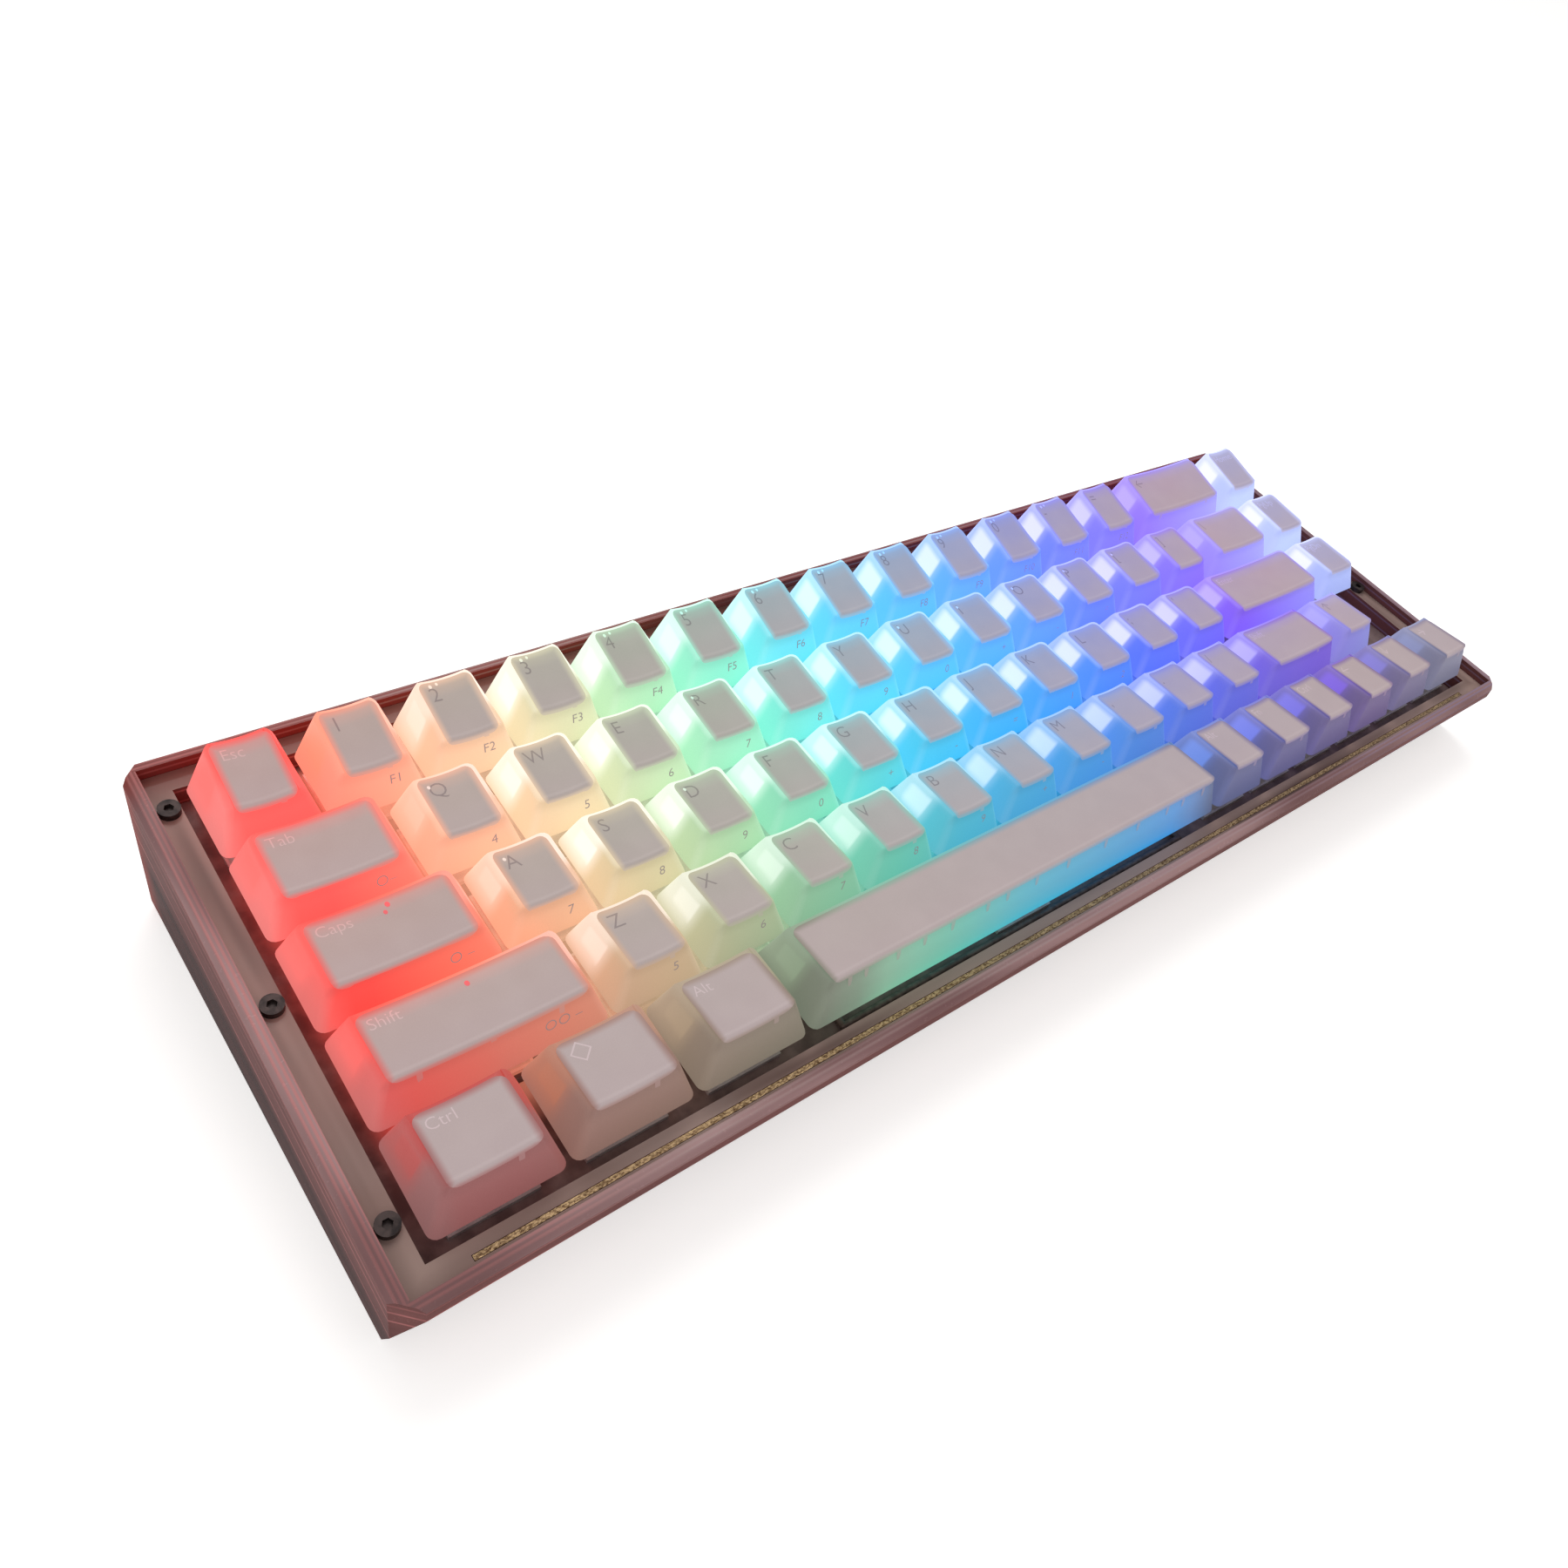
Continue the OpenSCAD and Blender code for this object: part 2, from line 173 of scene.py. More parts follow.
KEYS: list[Key] = [
    Key("key_left_control", Row.SPACE, 0.625, 1.25, "Ctrl"),
    Key("keys_left_modifiers", Row.SPACE, 1.875, 1.25, "◇"),
    Key("keys_left_modifiers", Row.SPACE, 3.125, 1.25, "Alt"),
    Key("key_space", Row.SPACE, 6.875, 6.25),
    *group("keys_right_modifiers", Row.SPACE, 10.5, ["Alt", "Fn", "Ctrl"]),
    Key("key_left_arrow", Row.SPACE, 13.5, 1, "←"),
    Key("key_down_arrow", Row.SPACE, 14.5, 1, "↓"),
    Key("key_right_arrow", Row.SPACE, 15.5, 1, "→"),
    Key("key_left_shift", Row.SHIFT, 1.125, 2.25, "Shift", "○○ –"),
    *letters("ZXCVBNM", Row.SHIFT, 2.75, "56789+-"),
    *group("keys_comma_to_slash", Row.SHIFT, 9.75, [",", ".", "/"]),
    Key("key_right_shift", Row.SHIFT, 13.125, 1.75, "Shift"),
    Key("key_up_arrow", Row.SHIFT, 14.5, 1, "↑"),
    Key("key_caps_lock", Row.HOME, 0.875, 1.75, "Caps", "○ –"),
    *letters("ASDFGHJKL", Row.HOME, 2.25, "7890+-=12"),
    *group("keys_semicolon_and_quote", Row.HOME, 11.25, [";", "'"]),
    Key("key_enter", Row.HOME, 13.875, 2.25, "Enter"),
    Key("keys_navigation", Row.HOME, 15.5, 1, "PgDn"),
    Key("key_tab", Row.TAB, 0.75, 1.5, "Tab", "○–"),
    *letters("QWERTYUIOP", Row.TAB, 2.0, "4567890+-="),
    *group("keys_brackets", Row.TAB, 12.0, ["[", "]"]),
    Key("key_backslash", Row.TAB, 14.25, 1.5, "\\"),
    Key("keys_navigation", Row.TAB, 15.5, 1, "PgUp"),
    Key("key_escape", Row.NUMBER, 0.5, 1, "Esc"),
    *group(
        "keys_number_row", Row.NUMBER, 1.5, list("1234567890-="), [f"F{i + 1}" for i in range(12)],
    ),
    Key("key_backspace", Row.NUMBER, 14.0, 2.0, "←"),
    Key("keys_navigation", Row.NUMBER, 15.5, 1, "Home"),
]


@dataclass(frozen=True)
class Reach:
    """A stretch across the keyboard, in key units, where more light comes through a cap."""

    start: float
    full: float
    fade: float
    end: float
    extra: float

    def share(self, unit: np.ndarray) -> np.ndarray:
        """Light at places across, from 0 to 1."""
        return ease(unit, self.start, self.full) * (1 - ease(unit, self.fade, self.end))


@dataclass(frozen=True)
class Backlight:
    """The row of coloured lights under the keys: what colour the caps take above them."""

    skirt: tuple[tuple[float, Colour], ...] = (
        (0.7, paint(250, 70, 62)), (1.7, paint(240, 160, 125)), (3.0, paint(220, 198, 155)),
        (4.5, paint(155, 215, 170)), (5.7, paint(100, 220, 195)), (6.7, paint(50, 205, 235)),
        (8.5, paint(30, 175, 250)), (11.0, paint(70, 115, 255)), (13.5, paint(125, 90, 240)),
        (15.4, paint(170, 190, 255)),
    )
    top: tuple[tuple[float, Colour], ...] = (
        (0.5, paint(190, 160, 155)), (5.0, paint(165, 180, 165)), (8.0, paint(145, 175, 205)),
        (10.5, paint(145, 155, 220)), (14.0, paint(185, 160, 185)), (15.5, paint(170, 170, 215)),
    )
    front_top: Colour = paint(185, 170, 170)
    front_top_share: tuple[float, ...] = (0.85, 0.3, 0.0, 0.0, 0.0)
    skirt_share: tuple[float, ...] = (0.2, 0.62, 0.76, 0.86, 0.84)
    hot_share: tuple[float, ...] = (0.36, 0.92, 1.0, 1.0, 1.0)
    pale: tuple[float, ...] = (0.3, 0.02, 0.02, 0.06, 0.07)
    white_share: tuple[float, ...] = (0.12, 0.85, 1.0, 1.0, 1.0)
    space_share: float = 0.2
    space_lamp: Reach = Reach(4.0, 4.9, 9.2, 9.8, 0.42)
    space_foot: Span = (-8.9, -8.2)
    space_foot_loss: float = 0.3
    front_lamp: Reach = Reach(9.0, 10.5, 13.5, 15.0, 0.32)
    neutral: Colour = paint(185, 168, 172)
    neutral_share: float = 0.32
    neutral_from: Span = (-2.0, 5.0)
    top_share: float = 0.65
    rear_glow: float = 1.4
    rear_share: float = 0.4
    rear_from: Span = (2.5, 7.5)
    white_from: Span = (1.0, 3.0)
    violet_from: Span = (11.0, 14.0)
    violet_to: Span = (14.8, 15.2)
    violet_drop: float = 0.75
    hot_white: float = 0.7
    left_end: Colour = paint(215, 130, 126)
    left_span: Span = (0.0, 0.3)
    left_share: float = 0.6
    spread: float = 0.45
    long_spread: float = 0.9
    row_blur: float = 0.5

    def along(self, stops: tuple[tuple[float, Colour], ...], unit: np.ndarray) -> np.ndarray:
        """Linear colour at each place across the keyboard, in key units."""
        places = [s[0] for s in stops]
        return np.stack([np.interp(unit, places, [s[1][c] for s in stops]) for c in range(3)], 1)

    def by_row(self, shares: tuple[float, ...], row: Row, y: np.ndarray) -> np.ndarray:
        """A row's share, which changes a little along y from the front to the back of a key."""
        rows = np.arange(len(shares))
        return np.interp(row.value + y / DECK.pitch * self.row_blur, rows, shares)[:, None]


class Wire:
    """A value on its way through a material. Sums and products of wires add Math nodes."""

    def __init__(self, web: "Web", socket: bpy.types.NodeSocket) -> None:
        """Wraps a node's output socket."""
        self.web = web
        self.socket = socket

    def __add__(self, other: "Wire | float") -> "Wire":
        """Sum."""
        return self.web.maths("ADD", self, other)

    def __sub__(self, other: "Wire | float") -> "Wire":
        """Difference."""
        return self.web.maths("SUBTRACT", self, other)

    def __rsub__(self, other: float) -> "Wire":
        """Difference from a number."""
        return self.web.maths("SUBTRACT", other, self)

    def __mul__(self, other: "Wire | float") -> "Wire":
        """Product."""
        return self.web.maths("MULTIPLY", self, other)

    def __truediv__(self, other: "Wire | float") -> "Wire":
        """Quotient."""
        return self.web.maths("DIVIDE", self, other)

    def __abs__(self) -> "Wire":
        """Size without sign."""
        return self.web.maths("ABSOLUTE", self)

    def __gt__(self, other: "Wire | float") -> "Wire":
        """1 where larger."""
        return self.web.maths("GREATER_THAN", self, other)


Value = Wire | float | tuple[float, ...]


class Web:
    """The nodes of one material, with its Principled shader on the output."""

    def __init__(self, name: str, **looks: float | Colour) -> None:
        """Starts a material.

        Args:
            name: The material's name.
            looks: Values that are the same all over, by socket name with _ for a space.
        """
        self.material = bpy.data.materials.new(name)
        self.material.use_nodes = True
        self.tree = self.material.node_tree
        self.tree.nodes.clear()
        self.shader = self.node("ShaderNodeBsdfPrincipled")
        surface = Wire(self, self.shader.outputs[0])
        self.node("ShaderNodeOutputMaterial", {}, {"Surface": surface})
        for key, value in looks.items():
            self.set(key.replace("_", " "), value)

    def node(
        self,
        kind: str,
        settings: dict[str, object] | None = None,
        values: dict[str | int, Value] | None = None,
    ) -> bpy.types.Node:
        """Adds a node.

        Args:
            kind: The node's type.
            settings: Its settings, set first. "stops" fills a colour ramp.
            values: What goes in its sockets: numbers, colours or wires.

        Returns:
            The node.
        """
        made = self.tree.nodes.new(kind)
        for name, value in (settings or {}).items():
            if name == "stops":
                ramp = made.color_ramp
                for i, (place, colour) in enumerate(value):
                    stop = ramp.elements[i] if i < 2 else ramp.elements.new(place)
                    stop.position = place
                    stop.color = (*colour, 1)
            else:
                setattr(made, name, value)
        for key, value in (values or {}).items():
            self.plug(made.inputs[key], value)
        return made

    def plug(self, socket: bpy.types.NodeSocket, value: Value) -> None:
        """Puts a wire, number or colour in a socket.

        Args:
            socket: The socket.
            value: What goes in.
        """
        if isinstance(value, Wire):
            self.tree.links.new(value.socket, socket)
        elif isinstance(value, tuple) and socket.type == "RGBA":
            socket.default_value = (*value[:3], 1)
        else:
            socket.default_value = value

    def set(self, name: str, value: Value) -> None:
        """Puts a value in the Principled shader's socket of that name."""
        self.plug(self.shader.inputs[name], value)

    def maths(self, operation: str, *values: Value) -> Wire:
        """Adds a Math node and returns its result."""
        made = self.node("ShaderNodeMath", {"operation": operation}, dict(enumerate(values)))
        return Wire(self, made.outputs[0])

    def step(self, value: Wire, low: float, high: float) -> Wire:
        """Smooth step of a wire.

        Args:
            value: The wire.
            low: Where the result is 0.
            high: Where the result is 1.

        Returns:
            The result, from 0 to 1.
        """
        settings = {"interpolation_type": "SMOOTHSTEP"}
        values = {0: value, 1: min(low, high), 2: max(low, high)}
        rising = Wire(self, self.node("ShaderNodeMapRange", settings, values).outputs[0])
        return rising if low <= high else 1.0 - rising

    def mix(self, share: Value, first: Value, second: Value, blend: str = "MIX") -> Wire:
        """Mixes two colours by the share of the second."""
        settings = {"data_type": "RGBA", "blend_type": blend}
        values = {0: share, 6: first, 7: second}
        return Wire(self, self.node("ShaderNodeMix", settings, values).outputs[2])

    def coords(self) -> Wire:
        """Object coordinates, in metres."""
        return Wire(self, self.node("ShaderNodeTexCoord").outputs["Object"])

    def attribute(self, name: str) -> Wire:
        """A colour or vector stored on the mesh."""
        made = self.node("ShaderNodeAttribute", {"attribute_name": name})
        return Wire(self, made.outputs["Vector"])

    def split(self, vector: Wire) -> tuple[Wire, Wire, Wire]:
        """Parts of a vector along x, y and z."""
        made = self.node("ShaderNodeSeparateXYZ", {}, {0: vector})
        return tuple(Wire(self, made.outputs[i]) for i in range(3))

    def noise(
        self, scale: float, detail: float, stretch: Triple = (1, 1, 1), place: Wire | None = None,
    ) -> Wire:
        """Noise over the object.

        Args:
            scale: Lumps in a metre.
            detail: Layers of finer lumps.
            stretch: Scale along x, y and z.
            place: Where the noise is read. The object's own places without it.

        Returns:
            The noise, about 0.5.
        """
        values = {"Vector": place or self.coords(), "Scale": stretch}
        where = Wire(self, self.node("ShaderNodeMapping", {}, values).outputs[0])
        values = {"Vector": where, "Scale": scale, "Detail": detail}
        return Wire(self, self.node("ShaderNodeTexNoise", {}, values).outputs[0])

    def bump(self, height: Wire, distance: float, strength: float) -> None:
        """Raises the surface by a height of 0 to 1, where 1 stands for the distance in metres."""
        values = {"Height": height, "Distance": distance, "Strength": strength}
        self.set("Normal", Wire(self, self.node("ShaderNodeBump", {}, values).outputs[0]))


@dataclass(frozen=True)
class FrostedSkirt:
    """Clear plastic with a frosted skin, lit from inside the cap: that light is painted into its
    emission, and its glow partly into its base colour.
    """

    body: Colour = paint(112, 74, 74)
    dust: Colour = paint(140, 104, 104)
    grain: float = 5200.0
    grain_depth: float = 0.00004
    left_from: Span = (0.0, -0.06)
    broad_y: Span = (-2.6, 1.4)
    broad_up: Span = (-0.25, 0.5)
    patch_front: Span = (-0.9, 0.2)
    patch_back: Span = (8.0, 4.6)
    patch_foot: Span = (0.05, 0.5)
    patch_top: Span = (1.02, 0.8)
    rim_from: Span = (0.9, 1.0)
    rim_share: float = 0.2
    corner_share: float = 0.1
    front_from: Span = (-5.4, -6.2)
    tip_from: Span = (0.62, 0.93)
    tip_shade: float = 0.16
    glow_in_base: float = 0.55

    def material(self) -> bpy.types.Material:
        """Builds the material from the colours stored on the cap.

        Returns:
            The material.
        """
        web = Web("frosted_skirt", Roughness=0.45, IOR=1.49, Specular_IOR_Level=0.25)
        web.set("Emission Strength", 1.0)
        _, y, up = web.split(web.attribute("place"))
        _, _, corner = web.split(web.attribute("edge"))
        glow, hot = web.attribute("glow"), web.attribute("hot")
        grain = web.noise(self.grain, 2.0)
        wide, _, _ = web.split(web.coords())
        wide = web.step(wide, *self.left_from) * 0.4 + 0.4
        # Painted light from the cap's own lamp: a broad lit area and a hot patch towards the back
        # of the sides, a bright band along the top rim and a thin light outline at the corners.
        broad = web.step(y, *self.broad_y) * web.step(up, *self.broad_up) * wide
        patch = web.step(y, *self.patch_front) * web.step(y, *self.patch_back)
        patch = patch * web.step(up, *self.patch_foot) * web.step(up, *self.patch_top)
        lit = web.mix(web.maths("MAXIMUM", broad, patch), glow, hot)
        lit = web.mix(web.step(up, *self.rim_from) * self.rim_share, lit, hot)
        lit = web.mix(corner * self.corner_share, lit, hot)
        front = web.step(y, *self.front_from)
        shade = 1.0 - front * web.step(up, *self.tip_from) * self.tip_shade
        cloud = (grain - 0.5) * 0.08 + shade
        tint = web.node("ShaderNodeCombineXYZ", {}, {0: cloud, 1: cloud, 2: cloud})
        web.set("Emission Color", web.mix(1.0, lit, Wire(web, tint.outputs[0]), "MULTIPLY"))
        body = web.mix(grain * 0.25, self.body, self.dust)
        # Painted light: the base colour takes part of the glow's colour.
        web.set("Base Color", web.mix(self.glow_in_base, body, glow))
        web.bump(grain, self.grain_depth, 0.6)
        return web.material


@dataclass(frozen=True)
class MilkyTop:
    """The milky plate that closes a cap, seen through its frosted skin."""

    body: Colour = paint(120, 106, 104)
    skirt: Colour = paint(112, 74, 74)
    dust: Colour = paint(150, 136, 134)
    haze: Colour = paint(200, 190, 188)
    shine: Colour = paint(236, 226, 226)
    blur: float = 1.5
    blur_share: float = 0.85
    lip_share: float = 0.62
    tab_share: float = 0.72
    front_highlight_share: float = 0.05
    grain: float = 3600.0
    grain_depth: float = 0.00003

    def material(self) -> bpy.types.Material:
        """Builds the material from the colours stored on the plate.

        Returns:
            The material.
        """
        web = Web("milky_top", Roughness=0.5, IOR=1.49, Specular_IOR_Level=0.25)
        web.set("Emission Strength", 1.0)
        side, back, along = web.split(web.attribute("edge"))
        top_glow, hot, glow = web.attribute("top_glow"), web.attribute("hot"), web.attribute("glow")
        grain, cloud = web.noise(self.grain, 2.0), web.noise(180.0, 1.0)
        soft = 1.0 - web.step(web.maths("MINIMUM", side, back), -0.1, self.blur)
        # Painted highlight: a thin light line just behind the top's front edge.
        front_highlight = web.step(along, 1.2, 0.7) * web.step(along, 0.1, 0.6)
        lip = web.step(along, 0.1, -1.1)
        tab = web.step(along, -0.8, -1.3)
        front = web.maths("MAXIMUM", lip * self.lip_share, tab * self.tab_share)
        blend = web.maths("MAXIMUM", soft * self.blur_share, front)
        # The emission paints the backlight seen through the plate, with lighter patches of painted
        # light (haze).
        colour = web.mix((cloud - 0.35) * 0.14, top_glow, self.haze)
        colour = web.mix(front_highlight * self.front_highlight_share, colour, self.shine)
        web.set("Emission Color", web.mix(blend, colour, web.mix(0.15, glow, hot)))
        body = web.mix(grain * 0.3, self.body, self.dust)
        web.set("Base Color", web.mix(blend, body, self.skirt))
        web.bump(grain, self.grain_depth, 0.5)
        return web.material


@dataclass(frozen=True)
class LegendInk:
    """The legends, a little darker than the plates, with a trace of the light behind them."""

    body: Colour = paint(96, 78, 84)
    dust: Colour = paint(120, 100, 106)
    shade: Colour = paint(90, 70, 80)

    def material(self) -> bpy.types.Material:
        """Builds the material.

        Returns:
            The material.
        """
        web = Web("legend_ink", Roughness=0.5, IOR=1.49)
        web.set("Emission Strength", 1.0)
        grain = web.noise(3000.0, 2.0)
        web.set("Emission Color", web.mix(grain * 0.1, web.attribute("top_glow"), self.shade))
        web.set("Base Color", web.mix(grain * 0.3, self.body, self.dust))
        return web.material


@dataclass(frozen=True)
class SmokyAcrylic:
    """Smoky mauve-brown acrylic of the case, partly clear, with painted highlight lines along its
    rim and walls, tinted by painted glow at its ends.
    """

    name: str = "smoky_acrylic"
    deep: Colour = paint(116, 76, 76)
    light: Colour = paint(204, 166, 166)
    wall_deep: Colour = paint(48, 22, 22)
    wall_light: Colour = paint(126, 78, 76)
    back: Colour = paint(150, 62, 56)
    clear: float = 0.08
    roughness: float = 0.22
    lines: tuple[float, ...] = (0.0010, 0.0019, 0.0027)
    rim_highlight_w: float = 0.00034
    rim_highlight_share: float = 0.55
    rim_highlight_colour: Colour = paint(196, 166, 164)
    left_red_glow: Colour = paint(226, 140, 138)
    left_from: Span = (-0.11, -0.155)
    right_violet_glow: Colour = paint(160, 150, 186)
    right_from: Span = (0.02, 0.14)
    layers: Span = (0.2, 2.5)
    streak_and_sheen_scale: float = 60.0
    fine_scale: float = 900.0
    flat_from: Span = (0.3, 0.75)
    rear_from: Span = (0.043, 0.052)
    rear_share: float = 0.8
    fall: float = 0.022
    top_coat: float = 0.14
    wall_coat: float = 0.08
    wall_highlights: tuple[float, ...] = (0.0012, 0.0034, 0.0062, 0.0118)
    wall_highlight_w: float = 0.0004
    wall_highlight_share: float = 0.5

    def material(self) -> bpy.types.Material:
        """Builds the material.

        Returns:
            The material.
        """
        web = Web(
            self.name, IOR=1.49, Coat_Roughness=0.07,
            Transmission_Weight=self.clear, Specular_IOR_Level=0.0,
        )
        x, y, z = web.split(web.coords())
        low, high = CAD_BOX
        inward = web.maths("MINIMUM", high.x - abs(x), high.y - abs(y))
        slope = math.tan(math.radians(DECK.tilt_deg))
        depth = (y - low.y) * slope + DECK.front_h * MM - z
        along, under = self.layers
        values = {0: inward * under, 1: (x + y) * along, 2: depth * under}
        layers = Wire(web, web.node("ShaderNodeCombineXYZ", {}, values).outputs[0])
        # Streaks along the layers: relief in the acrylic, and in the colour partly painted glassy
        # reflection.
        streak_and_sheen = web.noise(self.streak_and_sheen_scale, 2.0, place=layers)
        fine = web.noise(self.fine_scale, 2.0)
        share = web.step(streak_and_sheen, 0.3, 0.7)
        normal = Wire(web, web.node("ShaderNodeNewGeometry").outputs["Normal"])
        _, backward, upward = web.split(normal)
        # Painted shade: the walls take darker colours than the upward faces; they get lighter
        # towards the rim.
        lighter = 1.0 - web.step(depth, 0.0, self.fall)
        wall = web.mix(share * 0.35 + lighter * 0.65, self.wall_deep, self.wall_light)
        flat = web.step(upward, *self.flat_from)
        colour = web.mix(flat, wall, web.mix(share * 0.8 + 0.1, self.deep, self.light))
        web.set("Coat Weight", flat * self.top_coat + self.wall_coat)
        rear = web.step(y, *self.rear_from)
        rear = rear * (1.0 - web.step(backward, 0.3, 0.7) * 0.8)
        colour = web.mix(rear * self.rear_share, colour, self.back)
        # Painted highlights: thin bright lines on the upward faces at set distances in from the
        # outer edge.
        near = abs(inward - self.lines[0])
        for place in self.lines[1:]:
            near = web.maths("MINIMUM", near, abs(inward - place))
        line = web.step(near, self.rim_highlight_w, self.rim_highlight_w * 0.3) * web.step(streak_and_sheen, 0.25, 0.6) * flat
        # Painted glow: the highlight colour turns red towards the left end and violet towards the
        # right.
        tint = web.mix(web.step(x, *self.left_from), self.rim_highlight_colour, self.left_red_glow)
        tint = web.mix(web.step(x, *self.right_from), tint, self.right_violet_glow)
        # Painted highlights: bright lines along the walls at set depths below the rim.
        wall_highlight = web.step(abs(depth - self.wall_highlights[0]), self.wall_highlight_w, 0.0)
        for place in self.wall_highlights[1:]:
            wall_highlight = web.maths("MAXIMUM", wall_highlight, web.step(abs(depth - place), self.wall_highlight_w, 0.0))
        colour = web.mix((1.0 - flat) * wall_highlight * share * self.wall_highlight_share, colour, tint)
        web.set("Base Color", web.mix(line * self.rim_highlight_share, colour, tint))
        web.set("Roughness", fine * 0.08 + self.roughness)
        web.bump(streak_and_sheen, 0.0002, 0.12)
        return web.material


@dataclass(frozen=True)
class Moulded:
    """A plain finish of a CAD node: two close colours under noise, with a fine grain."""

    name: str
    first: Colour
    second: Colour
    scale: float = 400.0
    roughness: float = 0.5
    metallic: float = 0.0
    grain: float = 0.00005
    stretch: Triple = (1, 1, 1)

    def material(self) -> bpy.types.Material:
        """Builds the material.

        Returns:
            The material.
        """
        web = Web(self.name, Metallic=self.metallic, IOR=1.5)
        noise = web.noise(self.scale, 4.0, self.stretch)
        web.set("Base Color", web.mix(web.step(noise, 0.3, 0.7), self.first, self.second))
        web.set("Roughness", noise * 0.2 + (self.roughness - 0.1))
        web.bump(noise, self.grain, 0.4)
        return web.material


def across(web: Web, light: Backlight) -> Wire:
    """Colour of the lights at a place across the keyboard.

    Args:
        web: The material.
        light: The lights.

    Returns:
        The colour.
    """
    x, _, _ = web.split(web.coords())
    stops = [(unit / DECK.units, colour) for unit, colour in light.skirt]
    place = x / (DECK.units * DECK.pitch * MM) + 0.5
    return Wire(web, web.node("ShaderNodeValToRGB", {"stops": stops}, {0: place}).outputs[0])


@dataclass(frozen=True)
class LitPlate:
    """Smoky sheet under the keys, lit by the lamps between the caps of the back four rows."""

    light: Backlight = field(default_factory=Backlight)
    first: Colour = paint(112, 92, 90)
    second: Colour = paint(140, 118, 114)
    strength: float = 0.5
    name: str = "lit_plate"
    front_from: Span = (-0.036, -0.026)
    back_to: Span = (0.049, 0.046)
    right_to: Span = (0.142, 0.134)
    left_from: Span = (-0.152, -0.146)

    def material(self) -> bpy.types.Material:
        """Builds the material.

        Returns:
            The material.
        """
        web = Web(self.name, Roughness=0.5, IOR=1.5, Specular_IOR_Level=0.2)
        x, y, _ = web.split(web.coords())
        noise = web.noise(300.0, 4.0)
        lit = web.step(y, *self.front_from) * web.step(y, *self.back_to)
        lit = lit * web.step(x, *self.right_to) * web.step(x, *self.left_from)
        web.set("Base Color", web.mix(web.step(noise, 0.3, 0.7), self.first, self.second))
        web.set("Emission Color", web.mix(lit, (0.0, 0.0, 0.0), across(web, self.light)))
        web.set("Emission Strength", self.strength)
        web.bump(noise, 0.00005, 0.4)
        return web.material


@dataclass(frozen=True)
class CircuitMask:
    """Black solder mask with faint copper lines under it."""

    mask: Colour = paint(26, 22, 22)
    copper: Colour = paint(58, 44, 34)
    spacing: Span = (0.0012, 0.0023)
    line_from: Span = (0.86, 0.9)

    def material(self) -> bpy.types.Material:
        """Builds the material.

        Returns:
            The material.
        """
        web = Web("circuit_mask", Roughness=0.35, IOR=1.5)
        x, y, _ = web.split(web.coords())
        across_x, across_y = self.spacing
        line = web.maths("PINGPONG", x, across_x) / across_x
        other = web.maths("PINGPONG", y, across_y) / across_y
        copper = web.maths("MAXIMUM", line > self.line_from[0], other > self.line_from[1])
        web.set("Base Color", web.mix(copper, self.mask, self.copper))
        web.bump(copper, 0.00004, 0.5)
        return web.material


@dataclass(frozen=True)
class LampLens:
    """Lens of the lights on the board. Each glows in the colour of the caps above it."""

    light: Backlight = field(default_factory=Backlight)
    strength: float = 2.5

    def material(self) -> bpy.types.Material:
        """Builds the material from a ramp across the keyboard.

        Returns:
            The material.
        """
        web = Web("lamp_lens", Roughness=0.3, IOR=1.5)
        colour = across(web, self.light)
        web.set("Base Color", colour)
        web.set("Emission Color", colour)
        web.set("Emission Strength", self.strength)
        return web.material


def to_object(name: str, mesh: bpy.types.Mesh, material: bpy.types.Material) -> bpy.types.Object:
    """Makes a scene object of a finished mesh.

    Args:
        name: The piece's name.
        mesh: The mesh, in the row frame.
        material: Its finish.

    Returns:
        The object.
    """
    made = bpy.data.objects.new(name, mesh)
    bpy.context.scene.collection.objects.link(made)
    mesh.materials.append(material)
    return made


@dataclass
class Piece:
    """Meshes of one piece, gathered in deck millimetres with the colours of their points."""

    name: str
    solid: bmesh.types.BMesh = field(default_factory=bmesh.new)
    traits: dict[str, list[np.ndarray]] = field(default_factory=dict)

    def add(self, part: bmesh.types.BMesh, key: Key, traits: dict[str, np.ndarray]) -> None:
        """Adds a part drawn round a key's middle.

        Args:
            part: The part, which is freed.
            key: The key it belongs to.
            traits: Arrays of three values for each of its points.
        """
        bmesh.ops.translate(part, verts=part.verts[:], vec=key.centre)
        loose = bpy.data.meshes.new("loose")
        part.to_mesh(loose)
        part.free()
        self.solid.from_mesh(loose)
        bpy.data.meshes.remove(loose)
        for trait, values in traits.items():
            self.traits.setdefault(trait, []).append(values)

    def finish(self, material: bpy.types.Material, smooth_deg: float = 40.0) -> bpy.types.Object:
        """Turns what was gathered into the row frame and makes the object.

        Args:
            material: Its finish.
            smooth_deg: Edges flatter than this are shaded smooth.

        Returns:
            The object.
        """
        bmesh.ops.transform(self.solid, matrix=DECK.matrix(), verts=self.solid.verts[:])
        for face in self.solid.faces:
            face.smooth = True
        limit = math.radians(smooth_deg)
        for edge in self.solid.edges:
            edge.smooth = len(edge.link_faces) == 2 and edge.calc_face_angle(0.0) < limit
        mesh = bpy.data.meshes.new(self.name)
        self.solid.to_mesh(mesh)
        self.solid.free()
        for trait, values in self.traits.items():
            attribute = mesh.attributes.new(trait, "FLOAT_VECTOR", "POINT")
            attribute.data.foreach_set("vector", np.concatenate(values).astype(np.float32).ravel())
        return to_object(self.name, mesh, material)


def coordinates(part: bmesh.types.BMesh) -> np.ndarray:
    """Points of a mesh, one row each."""
    return np.array([v.co[:] for v in part.verts], float).reshape(-1, 3)


